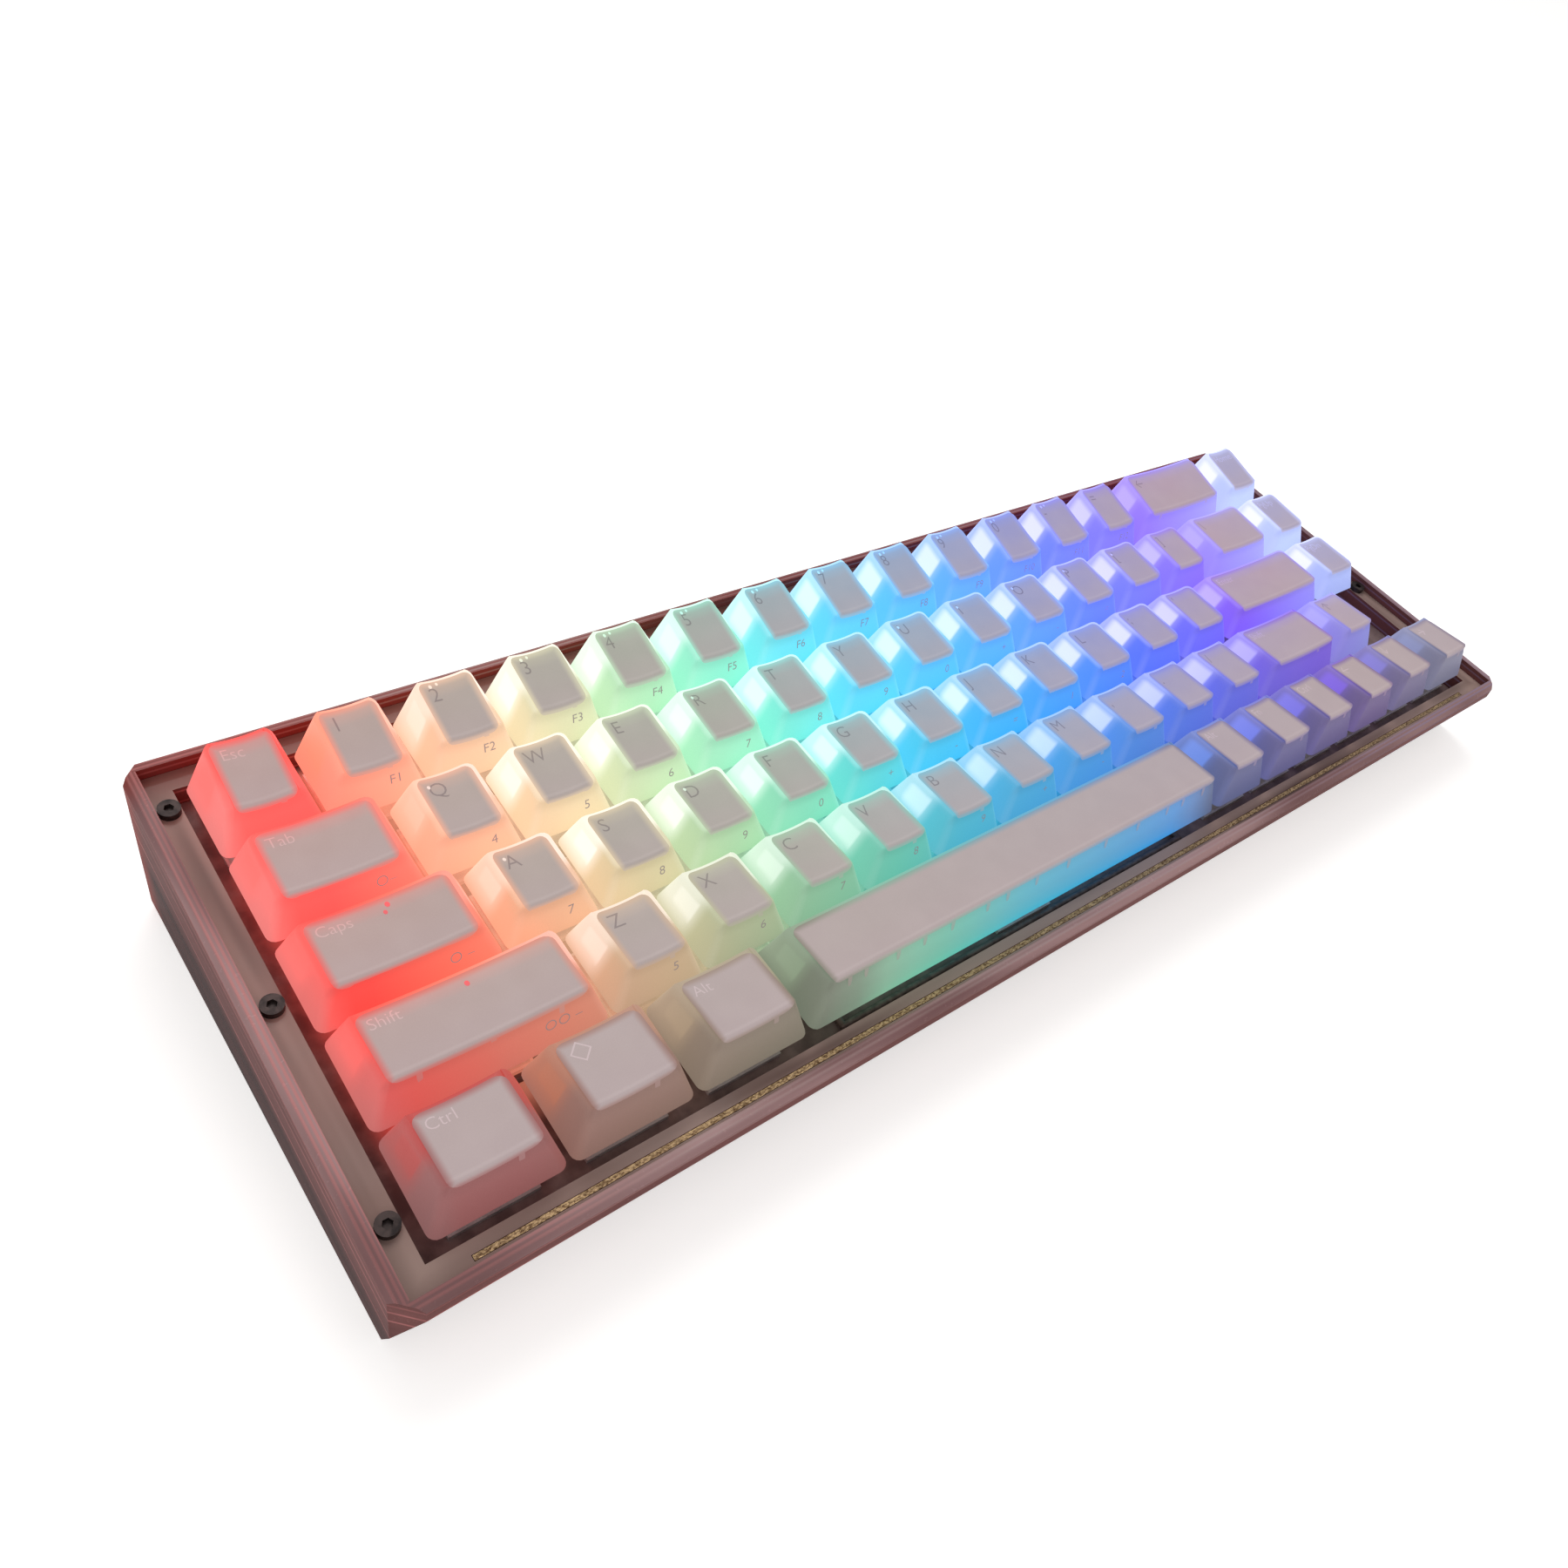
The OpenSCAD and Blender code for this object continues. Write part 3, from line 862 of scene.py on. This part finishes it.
@dataclass(frozen=True)
class CapShape:
    """The form of the keycaps, the same as the CAD's: row profiles, walls and hollow top."""

    foot: float = 18.15
    shrink: float = 6.05
    top_back: float = 7.3
    top_front: float = 6.0
    wall: float = 1.4
    dish: float = 0.8
    corner: float = 1.6
    brow: float = 0.75
    back_z: tuple[float, ...] = (8.2, 7.5, 7.4, 8.7, 11.6)
    front_z: tuple[float, ...] = (9.6, 8.6, 7.4, 7.7, 8.7)
    space_width: float = 6.25
    rings: Triple = (0.22, 0.5, 0.75)

    def width(self, key: Key) -> float:
        """Width of a key's foot."""
        return key.width * DECK.pitch - (DECK.pitch - self.foot)

    def long(self, key: Key) -> bool:
        """Whether the key is the space bar, which has a flat top."""
        return key.width >= self.space_width

    def half_plate(self, key: Key) -> float:
        """Half the width of a key's top."""
        return (self.width(key) - self.shrink) / 2

    def ends(self, key: Key) -> Span:
        """Heights of the top's front and back edges."""
        return self.front_z[key.row.value], self.back_z[key.row.value]

    def level(self, key: Key, y: np.ndarray | float) -> np.ndarray | float:
        """Height of a key's top without its hollow, at places along."""
        front, back = self.ends(key)
        return front + (back - front) * (y + self.top_front) / (self.top_back + self.top_front)

    def face(self, key: Key) -> tuple[Vector, Vector]:
        """Directions down a cap's front face and out of it.

        Args:
            key: The key.

        Returns:
            The two directions.
        """
        front, _ = self.ends(key)
        lean = self.foot / 2 - self.top_front
        down = Vector((0, -lean, -front)) / math.hypot(lean, front)
        return down, Vector((0, down.z, -down.y))

    def half_top(self, key: Key, z: np.ndarray | float) -> np.ndarray | float:
        """Half the width of a key at heights above its foot."""
        front, back = self.ends(key)
        return (self.width(key) - self.shrink * 2 * z / (front + back)) / 2

    def top_z(self, key: Key, x: np.ndarray | float, y: np.ndarray | float) -> np.ndarray:
        """Height of a key's top.

        Args:
            key: The key.
            x: Places across, from the key's middle.
            y: Places along.

        Returns:
            Heights above the foot.
        """
        level = self.level(key, np.asarray(y, float))
        if self.long(key):
            return level
        share = np.clip(np.abs(np.asarray(x, float)) / self.half_plate(key), 0, 1)
        return level - self.dish * (1 - share**2)


@dataclass
class Keycaps:
    """Builds the shells, milky plates, legends and sliders of all keys."""

    shape: CapShape = field(default_factory=CapShape)
    light: Backlight = field(default_factory=Backlight)
    plate_inset: float = 0.75
    plate_lift: float = 0.06
    plate_corner: float = 2.1
    folds: tuple[float, ...] = (-0.75, -0.45, -0.22, 0.0, 0.22, 0.45)
    lip: float = 1.1
    tab_w: float = 1.0
    tab_h: float = 2.3
    slider: tuple[float, float, float, float] = (6.8, 5.5, -5.5, 0.0)
    guide: tuple[float, float, float, float] = (3.6, 6.0, -5.7, 0.0)
    cross: Triple = (4.0, 1.2, 3.9)
    legend_h: float = 3.0
    word_share: float = 0.72
    legend_at: Span = (2.2, 2.0)
    ink_lift: float = 0.03
    mark_h: float = 1.9
    mark_at: Span = (3.4, 5.2)
    mark_lift: float = 0.05
    capital: float = 0.7
    thinning: float = 0.012
    glint_lift: float = 0.045
    number_glints: tuple[Triple, ...] = ((3.1, 5.6, 0.42), (4.5, 5.9, 0.34))
    letter_glints: tuple[Triple, ...] = ((2.6, 4.6, 0.4),)
    caps_glints: tuple[Triple, ...] = ((1.5, 4.9, 0.55), (0.6, 3.6, 0.45))
    shift_glints: tuple[Triple, ...] = ((1.0, 4.4, 0.55),)
    lit_letters: str = "QRADUIOP["
    white: Triple = (2.4, 2.6, 2.7)
    red: Triple = (2.2, 0.25, 0.3)
    pale_ink: float = 1.6
    dark_ink: float = 0.62
    mark_ink: float = 0.72
    single_tab: tuple[float, ...] = (0.5,)
    wide_tabs: tuple[float, ...] = (-0.72, 0.0, 0.7)
    space_tabs: tuple[float, ...] = (
        -0.93, -0.86, -0.72, -0.6, -0.47, -0.3, -0.2, -0.05, 0.12, 0.33, 0.52, 0.7, 0.8, 0.93,
    )
    space_reach: float = 50.0
    wide_reach: float = 11.9

    def colours(self, key: Key, points: np.ndarray) -> dict[str, np.ndarray]:
        """Light that reaches each point of a cap.

        Args:
            key: The key.
            points: Its points round the key's middle.

        Returns:
            The skirt's glow, its hot colour and the top's glow, for each point.
        """
        light, row, y = self.light, key.row, points[:, 1]
        unit = key.unit + points[:, 0] / DECK.pitch
        spread = light.long_spread if self.shape.long(key) else light.spread
        blend = key.unit + (unit - key.unit) * spread
        glow = light.along(light.skirt, blend)
        outer = 1 - ease(unit, *light.left_span)
        glow = glow + (np.array(light.left_end) - glow) * (outer * light.left_share)[:, None]
        pale = light.by_row(light.pale, row, y)
        share = light.by_row(light.skirt_share, row, y)
        violet = ease(unit, *light.violet_from) * (1 - ease(unit, *light.violet_to))
        white = ease(unit, *light.white_from) * (1 - violet * light.violet_drop) * light.hot_white
        white = white[:, None] * light.by_row(light.white_share, row, y)
        hot = glow + (1 - glow) * white
        hot_share = light.by_row(light.hot_share, row, y)
        if row is Row.SPACE:
            hot_share = hot_share + light.front_lamp.extra * light.front_lamp.share(unit)[:, None]
        if self.shape.long(key):
            foot = ease(y, *light.space_foot) * light.space_foot_loss
            lamp = light.space_lamp.share(unit) * (1 - foot)
            share = light.space_share + light.space_lamp.extra * lamp[:, None]
            pale = pale * (1 - lamp[:, None])
        top_glow = light.along(light.top, blend)
        top_glow = top_glow + (np.array(light.front_top) - top_glow) * light.front_top_share[row.value]
        calm = light.neutral_share * ease(-y, *light.neutral_from)
        top_glow = top_glow + (np.array(light.neutral) - top_glow) * calm[:, None]
        rear = light.rear_share * ease(y, *light.rear_from) * (row is not Row.SPACE)
        top_glow = top_glow + (glow * light.rear_glow - top_glow) * rear[:, None]
        return {
            "glow": (glow + (1 - glow) * pale) * share,
            "hot": hot * hot_share,
            "top_glow": top_glow * light.top_share,
        }

    def traits(self, key: Key, points: np.ndarray) -> dict[str, np.ndarray]:
        """Everything the finishes read from a cap's points.

        Args:
            key: The key.
            points: Its points round the key's middle.

        Returns:
            Named arrays of three values for each point.
        """
        x, y, z = points.T
        full = np.maximum(self.shape.top_z(key, x, y), 1.0)
        up = np.clip(z / full, 0, 1)
        half_x = self.shape.half_top(key, z)
        half_y = self.shape.foot / 2 - (self.shape.foot / 2 - self.shape.top_back) * up
        near_x = ease(np.abs(x), half_x - self.shape.corner, half_x - 0.5)
        near_y = ease(np.abs(y), half_y - self.shape.corner - 1.0, half_y - 0.5)
        corner = near_x * near_y * (1 - ease(up, 0.9, 1.0))
        side = self.shape.half_plate(key) - np.abs(x) - self.plate_inset
        edge = np.stack([side, self.shape.top_back - self.plate_inset - y, corner], 1)
        return {"place": np.stack([x, y, up], 1), "edge": edge, **self.colours(key, points)}

    def shell(self, key: Key) -> bmesh.types.BMesh:
        """Draws a cap's outer shell, open below, with its wall.

        Args:
            key: The key.

        Returns:
            The shell round the key's middle.
        """
        shape, part = self.shape, bmesh.new()
        bmesh.ops.create_cube(part, size=1.0)
        bmesh.ops.delete(part, geom=[f for f in part.faces if f.normal.z < -0.5], context="FACES")
        front, back = shape.ends(key)
        for point in part.verts:
            right, rear, top = (c > 0 for c in point.co)
            z = (back if rear else front) if top else 0.0
            behind, ahead = (shape.top_back, shape.top_front) if top else (shape.foot / 2,) * 2
            half = shape.half_top(key, z)
            point.co = (half if right else -half, behind if rear else -ahead, z)
        upright = [e for e in part.edges if abs(e.verts[0].co.z - e.verts[1].co.z) > 1]
        bmesh.ops.bevel(
            part, geom=upright, offset=shape.corner, segments=4, affect="EDGES",
            profile=0.5, material=-1,
        )
        part.normal_update()
        lid = max(part.faces, key=lambda f: f.normal.z)
        bmesh.ops.bevel(
            part, geom=lid.edges[:], offset=shape.brow, segments=3, affect="EDGES",
            profile=0.5, material=-1,
        )
        half = shape.half_plate(key)
        steps = 16 if shape.long(key) else 8
        for i in range(1, steps):
            self.cut(part, Vector((half * (i * 2 / steps - 1), 0, 0)), Vector((1, 0, 0)))
        for height in shape.rings:
            self.cut(part, Vector((0, 0, min(front, back) * height)), Vector((0, 0, 1)))
        if not shape.long(key):
            for point in part.verts:
                level = shape.level(key, point.co.y)
                lowered = level - float(shape.top_z(key, point.co.x, point.co.y))
                point.co.z -= lowered * float(ease(point.co.z / level, 0.8, 0.93))
        return part

    def cut(self, part: bmesh.types.BMesh, place: Vector, normal: Vector) -> None:
        """Cuts every face that a plane crosses, given a point of the plane and its normal."""
        bmesh.ops.bisect_plane(
            part, geom=part.verts[:] + part.edges[:] + part.faces[:],
            plane_co=place, plane_no=normal,
        )

    def walls(self, part: bmesh.types.BMesh) -> None:
        """Turns the open foot of a shell inwards, as the lower end of its wall.

        Args:
            part: The shell.
        """
        thick = self.shape.wall
        foot = [e for e in part.edges if e.is_boundary]
        for inward, rise in ((thick, 0.0), (thick * 0.8, self.shape.wall * 2)):
            made = bmesh.ops.extrude_edge_only(part, edges=foot)["geom"]
            foot = [e for e in made if isinstance(e, bmesh.types.BMEdge) and e.is_boundary]
            for point in {v for e in foot for v in e.verts}:
                point.co.x -= math.copysign(min(inward, abs(point.co.x)), point.co.x)
                point.co.y -= math.copysign(min(inward, abs(point.co.y)), point.co.y)
                point.co.z += rise
        bmesh.ops.recalc_face_normals(part, faces=part.faces[:])

    def plate(self, key: Key) -> bmesh.types.BMesh:
        """Draws the milky plate: over the top, down the front edge as a lip, with hanging tabs.

        Args:
            key: The key.

        Returns:
            The plate round the key's middle.
        """
        shape, part = self.shape, bmesh.new()
        half = shape.half_plate(key) - self.plate_inset
        length = shape.top_back - self.plate_inset + shape.top_front
        steps = max(8, round(half))
        bmesh.ops.create_grid(part, x_segments=steps, y_segments=8, size=1.0)
        for point in part.verts:
            back = (point.co.y + 1) / 2 * (length + self.lip)
            point.co = (point.co.x * half, -self.lip + back, 0)
        corners = [v for v in part.verts if len(v.link_edges) == 2]
        bmesh.ops.bevel(
            part, geom=corners, offset=self.plate_corner, segments=4, affect="VERTICES",
            profile=0.5, material=-1,
        )
        for place in self.folds:
            self.cut(part, Vector((0, place, 0)), Vector((0, 1, 0)))
        tabs = self.wide_tabs if key.guided else self.single_tab
        if shape.long(key):
            tabs = self.space_tabs
        for place in tabs:
            self.hang(part, place * half)
        return self.bend(part, key)

    def hang(self, part: bmesh.types.BMesh, x: float) -> None:
        """Hangs a tab from the lip of a flat plate.

        Args:
            part: The plate before it is bent.
            x: The tab's middle.
        """
        made = bmesh.ops.create_grid(part, x_segments=1, y_segments=2, size=0.5)
        for point in made["verts"]:
            taper = 1.0 if point.co.y > -0.4 else 0.55
            point.co = (
                x + point.co.x * self.tab_w * taper,
                -self.lip + 0.2 + (point.co.y - 0.5) * self.tab_h, 0,
            )

    def bend(self, part: bmesh.types.BMesh, key: Key) -> bmesh.types.BMesh:
        """Lays a flat plate on the cap: above 0 along y on the top, below 0 down the front.

        Args:
            part: The flat plate.
            key: The key.

        Returns:
            The same plate, bent.
        """
        shape = self.shape
        down, out = shape.face(key)
        brow = shape.brow
        for point in part.verts:
            x, t = point.co.x, point.co.y
            y = -shape.top_front + max(t, brow * 0.4)
            top = Vector((x, y, float(shape.top_z(key, x, y)) + self.plate_lift))
            edge = float(shape.top_z(key, x, -shape.top_front))
            wall = Vector((x, -shape.top_front, edge)) + down * max(-t, brow * 0.4)
            wall += out * self.plate_lift
            share = float(ease(t, -brow * 0.55, brow * 0.55))
            point.co = wall.lerp(top, share)
        bmesh.ops.recalc_face_normals(part, faces=part.faces[:])
        if sum(f.normal.z for f in part.faces) < 0:
            bmesh.ops.reverse_faces(part, faces=part.faces[:])
        return part

    def plate_traits(self, key: Key, points: np.ndarray) -> dict[str, np.ndarray]:
        """What the plate's finish reads.

        Args:
            key: The key.
            points: The plate's points round the key's middle.

        Returns:
            The cap's arrays, with the way back from the front edge as the third edge value.
        """
        traits = self.traits(key, points)
        shape = self.shape
        x, y, z = points.T
        along = y + shape.top_front
        below = np.maximum(shape.top_z(key, x, -shape.top_front) - z, 0)
        traits["edge"][:, 2] = np.where(along > self.lip * 0.3, along, along - below)
        return traits

    def block(self, part: bmesh.types.BMesh, size: Span, low: float, high: float, x: float) -> None:
        """Adds a box to a slider.

        Args:
            part: The slider.
            size: Width and depth.
            low: Its foot.
            high: Its top.
            x: Its middle.
        """
        made = bmesh.ops.create_cube(part, size=1.0)["verts"]
        bmesh.ops.scale(part, verts=made, vec=(size[0], size[1], high - low))
        bmesh.ops.translate(part, verts=made, vec=(x, 0, (low + high) / 2))
        edges = [e for e in part.edges if e.verts[0] in made]
        bmesh.ops.bevel(
            part, geom=edges, offset=0.15, segments=1, affect="EDGES", profile=0.5, material=-1,
        )

    def slider_part(self, key: Key) -> bmesh.types.BMesh:
        """Draws the sliders that carry a cap, each with its cross.

        Args:
            key: The key.

        Returns:
            The sliders round the key's middle.
        """
        part = bmesh.new()
        reach = self.space_reach if self.shape.long(key) else self.wide_reach
        places = [(0.0, self.slider)]
        if key.guided:
            places += [(-reach, self.guide), (reach, self.guide)]
        for x, (w, d, low, high) in places:
            self.block(part, (w, d), low, high, x)
            arm, thick, top = self.cross
            self.block(part, (arm, thick), high - 0.2, top, x)
            self.block(part, (thick, arm), high - 0.2, top, x)
        return part

    def writing(self, text: str, height: float) -> bmesh.types.BMesh:
        """Draws a legend flat, in thin strokes, with its lower left corner at the origin.

        Args:
            text: The letters.
            height: Height of a capital, in millimetres.

        Returns:
            The legend's flat mesh.
        """
        curve = bpy.data.curves.new("legend", "FONT")
        curve.body = text
        curve.size = height / self.capital
        curve.offset = -self.thinning * height
        curve.resolution_u = 3
        written = bpy.data.objects.new("legend", curve)
        bpy.context.scene.collection.objects.link(written)
        bpy.context.view_layer.update()
        flat = bpy.data.meshes.new_from_object(written)
        bpy.data.objects.remove(written)
        part = bmesh.new()
        part.from_mesh(flat)
        bpy.data.meshes.remove(flat)
        bmesh.ops.remove_doubles(part, verts=part.verts[:], dist=0.01)
        return part

    def top_legend(self, key: Key) -> bmesh.types.BMesh:
        """Lays a key's legend in the back left of its top.

        Args:
            key: The key.

        Returns:
            The legend round the key's middle.
        """
        shape = self.shape
        size = self.legend_h if len(key.legend) == 1 else self.legend_h * self.word_share
        part = self.writing(key.legend, size)
        half = shape.half_plate(key)
        inset, fall = self.legend_at
        for point in part.verts:
            x = point.co.x - half + inset
            y = point.co.y + shape.top_back - fall - size
            point.co = (x, y, float(shape.top_z(key, x, y)) + self.plate_lift + self.ink_lift)
        return part

    def front_legend(self, key: Key) -> bmesh.types.BMesh:
        """Lays a key's small mark on the right of its front face.

        Args:
            key: The key.

        Returns:
            The mark round the key's middle.
        """
        shape = self.shape
        part = self.writing(key.front, self.mark_h)
        front, _ = shape.ends(key)
        down, out = shape.face(key)
        widest = max((v.co.x for v in part.verts), default=0.0)
        inset, fall = self.mark_at
        half = shape.half_top(key, front * 0.6)
        for point in part.verts:
            x = point.co.x + half - inset - widest
            base = Vector((x, -shape.top_front, front)) + down * (fall - point.co.y)
            point.co = base + out * self.mark_lift
        return part

    def dress(
        self, body: str, keys: list[Key], finishes: dict[str, bpy.types.Material],
    ) -> list[bpy.types.Object]:
        """Builds every piece of one key body.

        Args:
            body: The body.
            keys: Its keys.
            finishes: The materials by name.

        Returns:
            The pieces.
        """
        shell, plate = Piece(f"{body}_shell"), Piece(f"{body}_top")
        slider, legend = Piece(f"{body}_slider"), Piece(f"{body}_legend")
        written = False
        for key in keys:
            outer = self.shell(key)
            self.walls(outer)
            shell.add(outer, key, self.traits(key, coordinates(outer)))
            top = self.plate(key)
            plate.add(top, key, self.plate_traits(key, coordinates(top)))
            slider.add(self.slider_part(key), key, {})
            for part, share in self.legends(key):
                top_glow = self.colours(key, coordinates(part))["top_glow"] * share
                legend.add(part, key, {"top_glow": top_glow})
                written = True
        made = [
            shell.finish(finishes["skirt"]),
            plate.finish(finishes["top"]),
            slider.finish(finishes["slider"]),
        ]
        if written:
            made.append(legend.finish(finishes["ink"]))
        for piece in made:
            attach(piece, body)
        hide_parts(body)
        return made

    def glint(self, key: Key, x: float, y: float, radius: float) -> bmesh.types.BMesh:
        """Draws a spot where the light shines straight through a legend.

        Args:
            key: The key.
            x: Its middle across.
            y: Its middle along.
            radius: Its radius.

        Returns:
            The spot round the key's middle.
        """
        part = bmesh.new()
        bmesh.ops.create_circle(part, cap_ends=True, segments=10, radius=radius)
        lift = self.plate_lift + self.glint_lift
        for point in part.verts:
            px, py = point.co.x * 0.8 + x, point.co.y + y
            point.co = (px, py, float(self.shape.top_z(key, px, py)) + lift)
        return part

    def legends(self, key: Key) -> list[tuple[bmesh.types.BMesh, float | np.ndarray]]:
        """Draws a key's legends, on its top and front, and the spots that shine through.

        Args:
            key: The key.

        Returns:
            Each part with the share of the plate's own light that it shows.
        """
        pale = key.row is Row.SPACE or len(key.legend) > 1
        found: list[tuple[bmesh.types.BMesh, float | np.ndarray]] = []
        if key.legend:
            found.append((self.top_legend(key), self.pale_ink if pale else self.dark_ink))
        if key.front:
            found.append((self.front_legend(key), self.mark_ink))
        left = -self.shape.half_plate(key)
        spots, start, shine = (), left, self.white
        if key.row is Row.NUMBER and 2 < key.unit < 12:
            spots = self.number_glints
        elif key.legend in set(self.lit_letters):
            spots = self.letter_glints
        elif key.legend == "Caps":
            spots, start, shine = self.caps_glints, 0.0, self.red
        elif key.legend == "Shift" and key.guided:
            spots, start, shine = self.shift_glints, 0.0, self.red
        for x, y, radius in spots:
            found.append((self.glint(key, start + x, y, radius), np.array(shine)))
        return found


@dataclass
class Chassis:
    """The case, plate, board and switches: CAD nodes that keep their shape and get their finish."""

    def finishes(self) -> dict[str, bpy.types.Material]:
        """Builds a material for each node.

        Returns:
            Materials by node name.
        """
        finishes = {
            "bottom_case": SmokyAcrylic(),
            "top_frame": SmokyAcrylic(
                "channel_acrylic", deep=paint(96, 72, 68), light=paint(196, 168, 158),
                back=paint(132, 74, 66), clear=0.05, roughness=0.3, rim_highlight_share=0.0,
            ),
            "switch_plate": LitPlate(),
            "circuit_board": CircuitMask(),
            # The housings glow with painted light in the colour of the lamps below.
            "switch_housings": LitPlate(
                first=paint(180, 170, 170), second=paint(205, 198, 196), strength=0.4,
                name="lit_housing_plastic",
            ),
            "switch_springs": Moulded(
                "spring_steel", paint(150, 144, 130), paint(190, 184, 160), 900, 0.3, 1.0,
            ),
            "stabiliser_housings": Moulded(
                "guide_plastic", paint(180, 176, 176), paint(200, 196, 196), 500,
            ),
            "stabiliser_wires": Moulded(
                "wire_steel", paint(96, 76, 72), paint(128, 106, 100), 700, 0.5, 0.3,
            ),
            "backlight_leds": LampLens(),
            "usb_socket": Moulded(
                "socket_steel", paint(140, 140, 144), paint(190, 190, 194), 800, 0.3, 1.0,
            ),
            "rubber_feet": Moulded("foot_rubber", paint(22, 22, 22), paint(38, 37, 37), 900, 0.85),
            "case_screws": Moulded(
                "screw_steel", paint(34, 26, 26), paint(78, 66, 64), 600, 0.45, 0.6,
            ),
            # Fine noise between dark and light amber: the strip's own tone, with painted glints.
            "amber_strip": Moulded(
                "amber_with_glints", paint(96, 64, 30), paint(216, 184, 138), 3200, 0.35, 0.5, 0.0002,
                (0.6, 1, 1),
            ),
        }
        return {name: finish.material() for name, finish in finishes.items()}

    def dress(self) -> None:
        """Gives each node its material."""
        for name, material in self.finishes().items():
            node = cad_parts[name]
            node.data.materials.clear()
            node.data.materials.append(material)
            log.info("node %s: %s", name, material.name)


@dataclass
class Studio:
    """Pale floor, soft lights and the camera."""

    floor_size: float = 8.0
    floor_glow: float = 0.6
    sky: float = 0.42
    seat: Triple = (-36.1, -59.3, 184.0)
    ahead: Triple = (0.5421, 0.4267, -0.7239)
    beside: Triple = (0.7783, -0.5798, 0.2410)
    lens: float = 28.65

    def floor(self) -> None:
        """Lays the floor."""
        part = bmesh.new()
        bmesh.ops.create_grid(part, x_segments=8, y_segments=8, size=self.floor_size)
        mesh = bpy.data.meshes.new("floor")
        part.to_mesh(mesh)
        part.free()
        web = Web("floor_paper", Roughness=0.9)
        shade = web.noise(2.0, 2.0)
        pale = web.mix(shade, paint(252, 251, 250), paint(246, 245, 244))
        web.set("Base Color", pale)
        web.set("Emission Color", pale)
        web.set("Emission Strength", self.floor_glow)
        to_object("floor", mesh, web.material)

    def lamp(self, name: str, place: Triple, power: float, size: float, tint: Colour) -> None:
        """Hangs a soft square light that points at the keyboard.

        Args:
            name: The light's name.
            place: Where it hangs.
            power: Its power in watts.
            size: Its side.
            tint: Its colour.
        """
        data = bpy.data.lights.new(name, "AREA")
        data.energy, data.size, data.color = power, size, tint
        lamp = bpy.data.objects.new(name, data)
        bpy.context.scene.collection.objects.link(lamp)
        lamp.location = place
        lamp.rotation_euler = (-Vector(place)).to_track_quat("-Z", "Y").to_euler()

    def lights(self) -> None:
        """Hangs the lights and sets the sky."""
        world = bpy.data.worlds.new("studio")
        bpy.context.scene.world = world
        world.use_nodes = True
        sky = world.node_tree.nodes["Background"]
        sky.inputs[0].default_value = (1, 1, 1, 1)
        sky.inputs[1].default_value = self.sky
        self.lamp("key_light", (0.3, 0.7, 1.3), 6.5, 0.9, (1.0, 0.98, 0.96))
        self.lamp("fill_light", (-1.1, -0.6, 1.0), 2.5, 1.0, (1.0, 0.97, 0.95))

    def camera(self) -> None:
        """Sets the camera."""
        deck = DECK.matrix()
        turn = deck.to_3x3().normalized()
        look = (turn @ Vector(self.ahead)).normalized()
        right = (turn @ Vector(self.beside)).normalized()
        up = right.cross(look)
        data = bpy.data.cameras.new("camera")
        data.lens, data.sensor_width, data.clip_start = self.lens, 36.0, 0.01
        camera = bpy.data.objects.new("camera", data)
        bpy.context.scene.collection.objects.link(camera)
        turned = Matrix((right, up, -look)).transposed().to_4x4()
        camera.matrix_world = Matrix.Translation(deck @ Vector(self.seat)) @ turned
        bpy.context.scene.camera = camera

    def build(self) -> None:
        """Sets up the floor, the lights, the camera and the picture's colour curve."""
        self.camera()
        self.floor()
        self.lights()
        bpy.context.scene.view_settings.view_transform = "Standard"


def main() -> None:
    """Builds the keyboard and the studio."""
    Studio().build()
    Chassis().dress()
    finishes = {
        "skirt": FrostedSkirt().material(),
        "top": MilkyTop().material(),
        "ink": LegendInk().material(),
        "slider": Moulded("slider_plastic", paint(150, 60, 54), paint(178, 80, 70), 600).material(),
    }
    caps = Keycaps()
    for body in dict.fromkeys(key.body for key in KEYS):
        for piece in caps.dress(body, [k for k in KEYS if k.body == body], finishes):
            log.info("piece %s: %d faces", piece.name, len(piece.data.polygons))


if __name__ == "__main__":
    main()
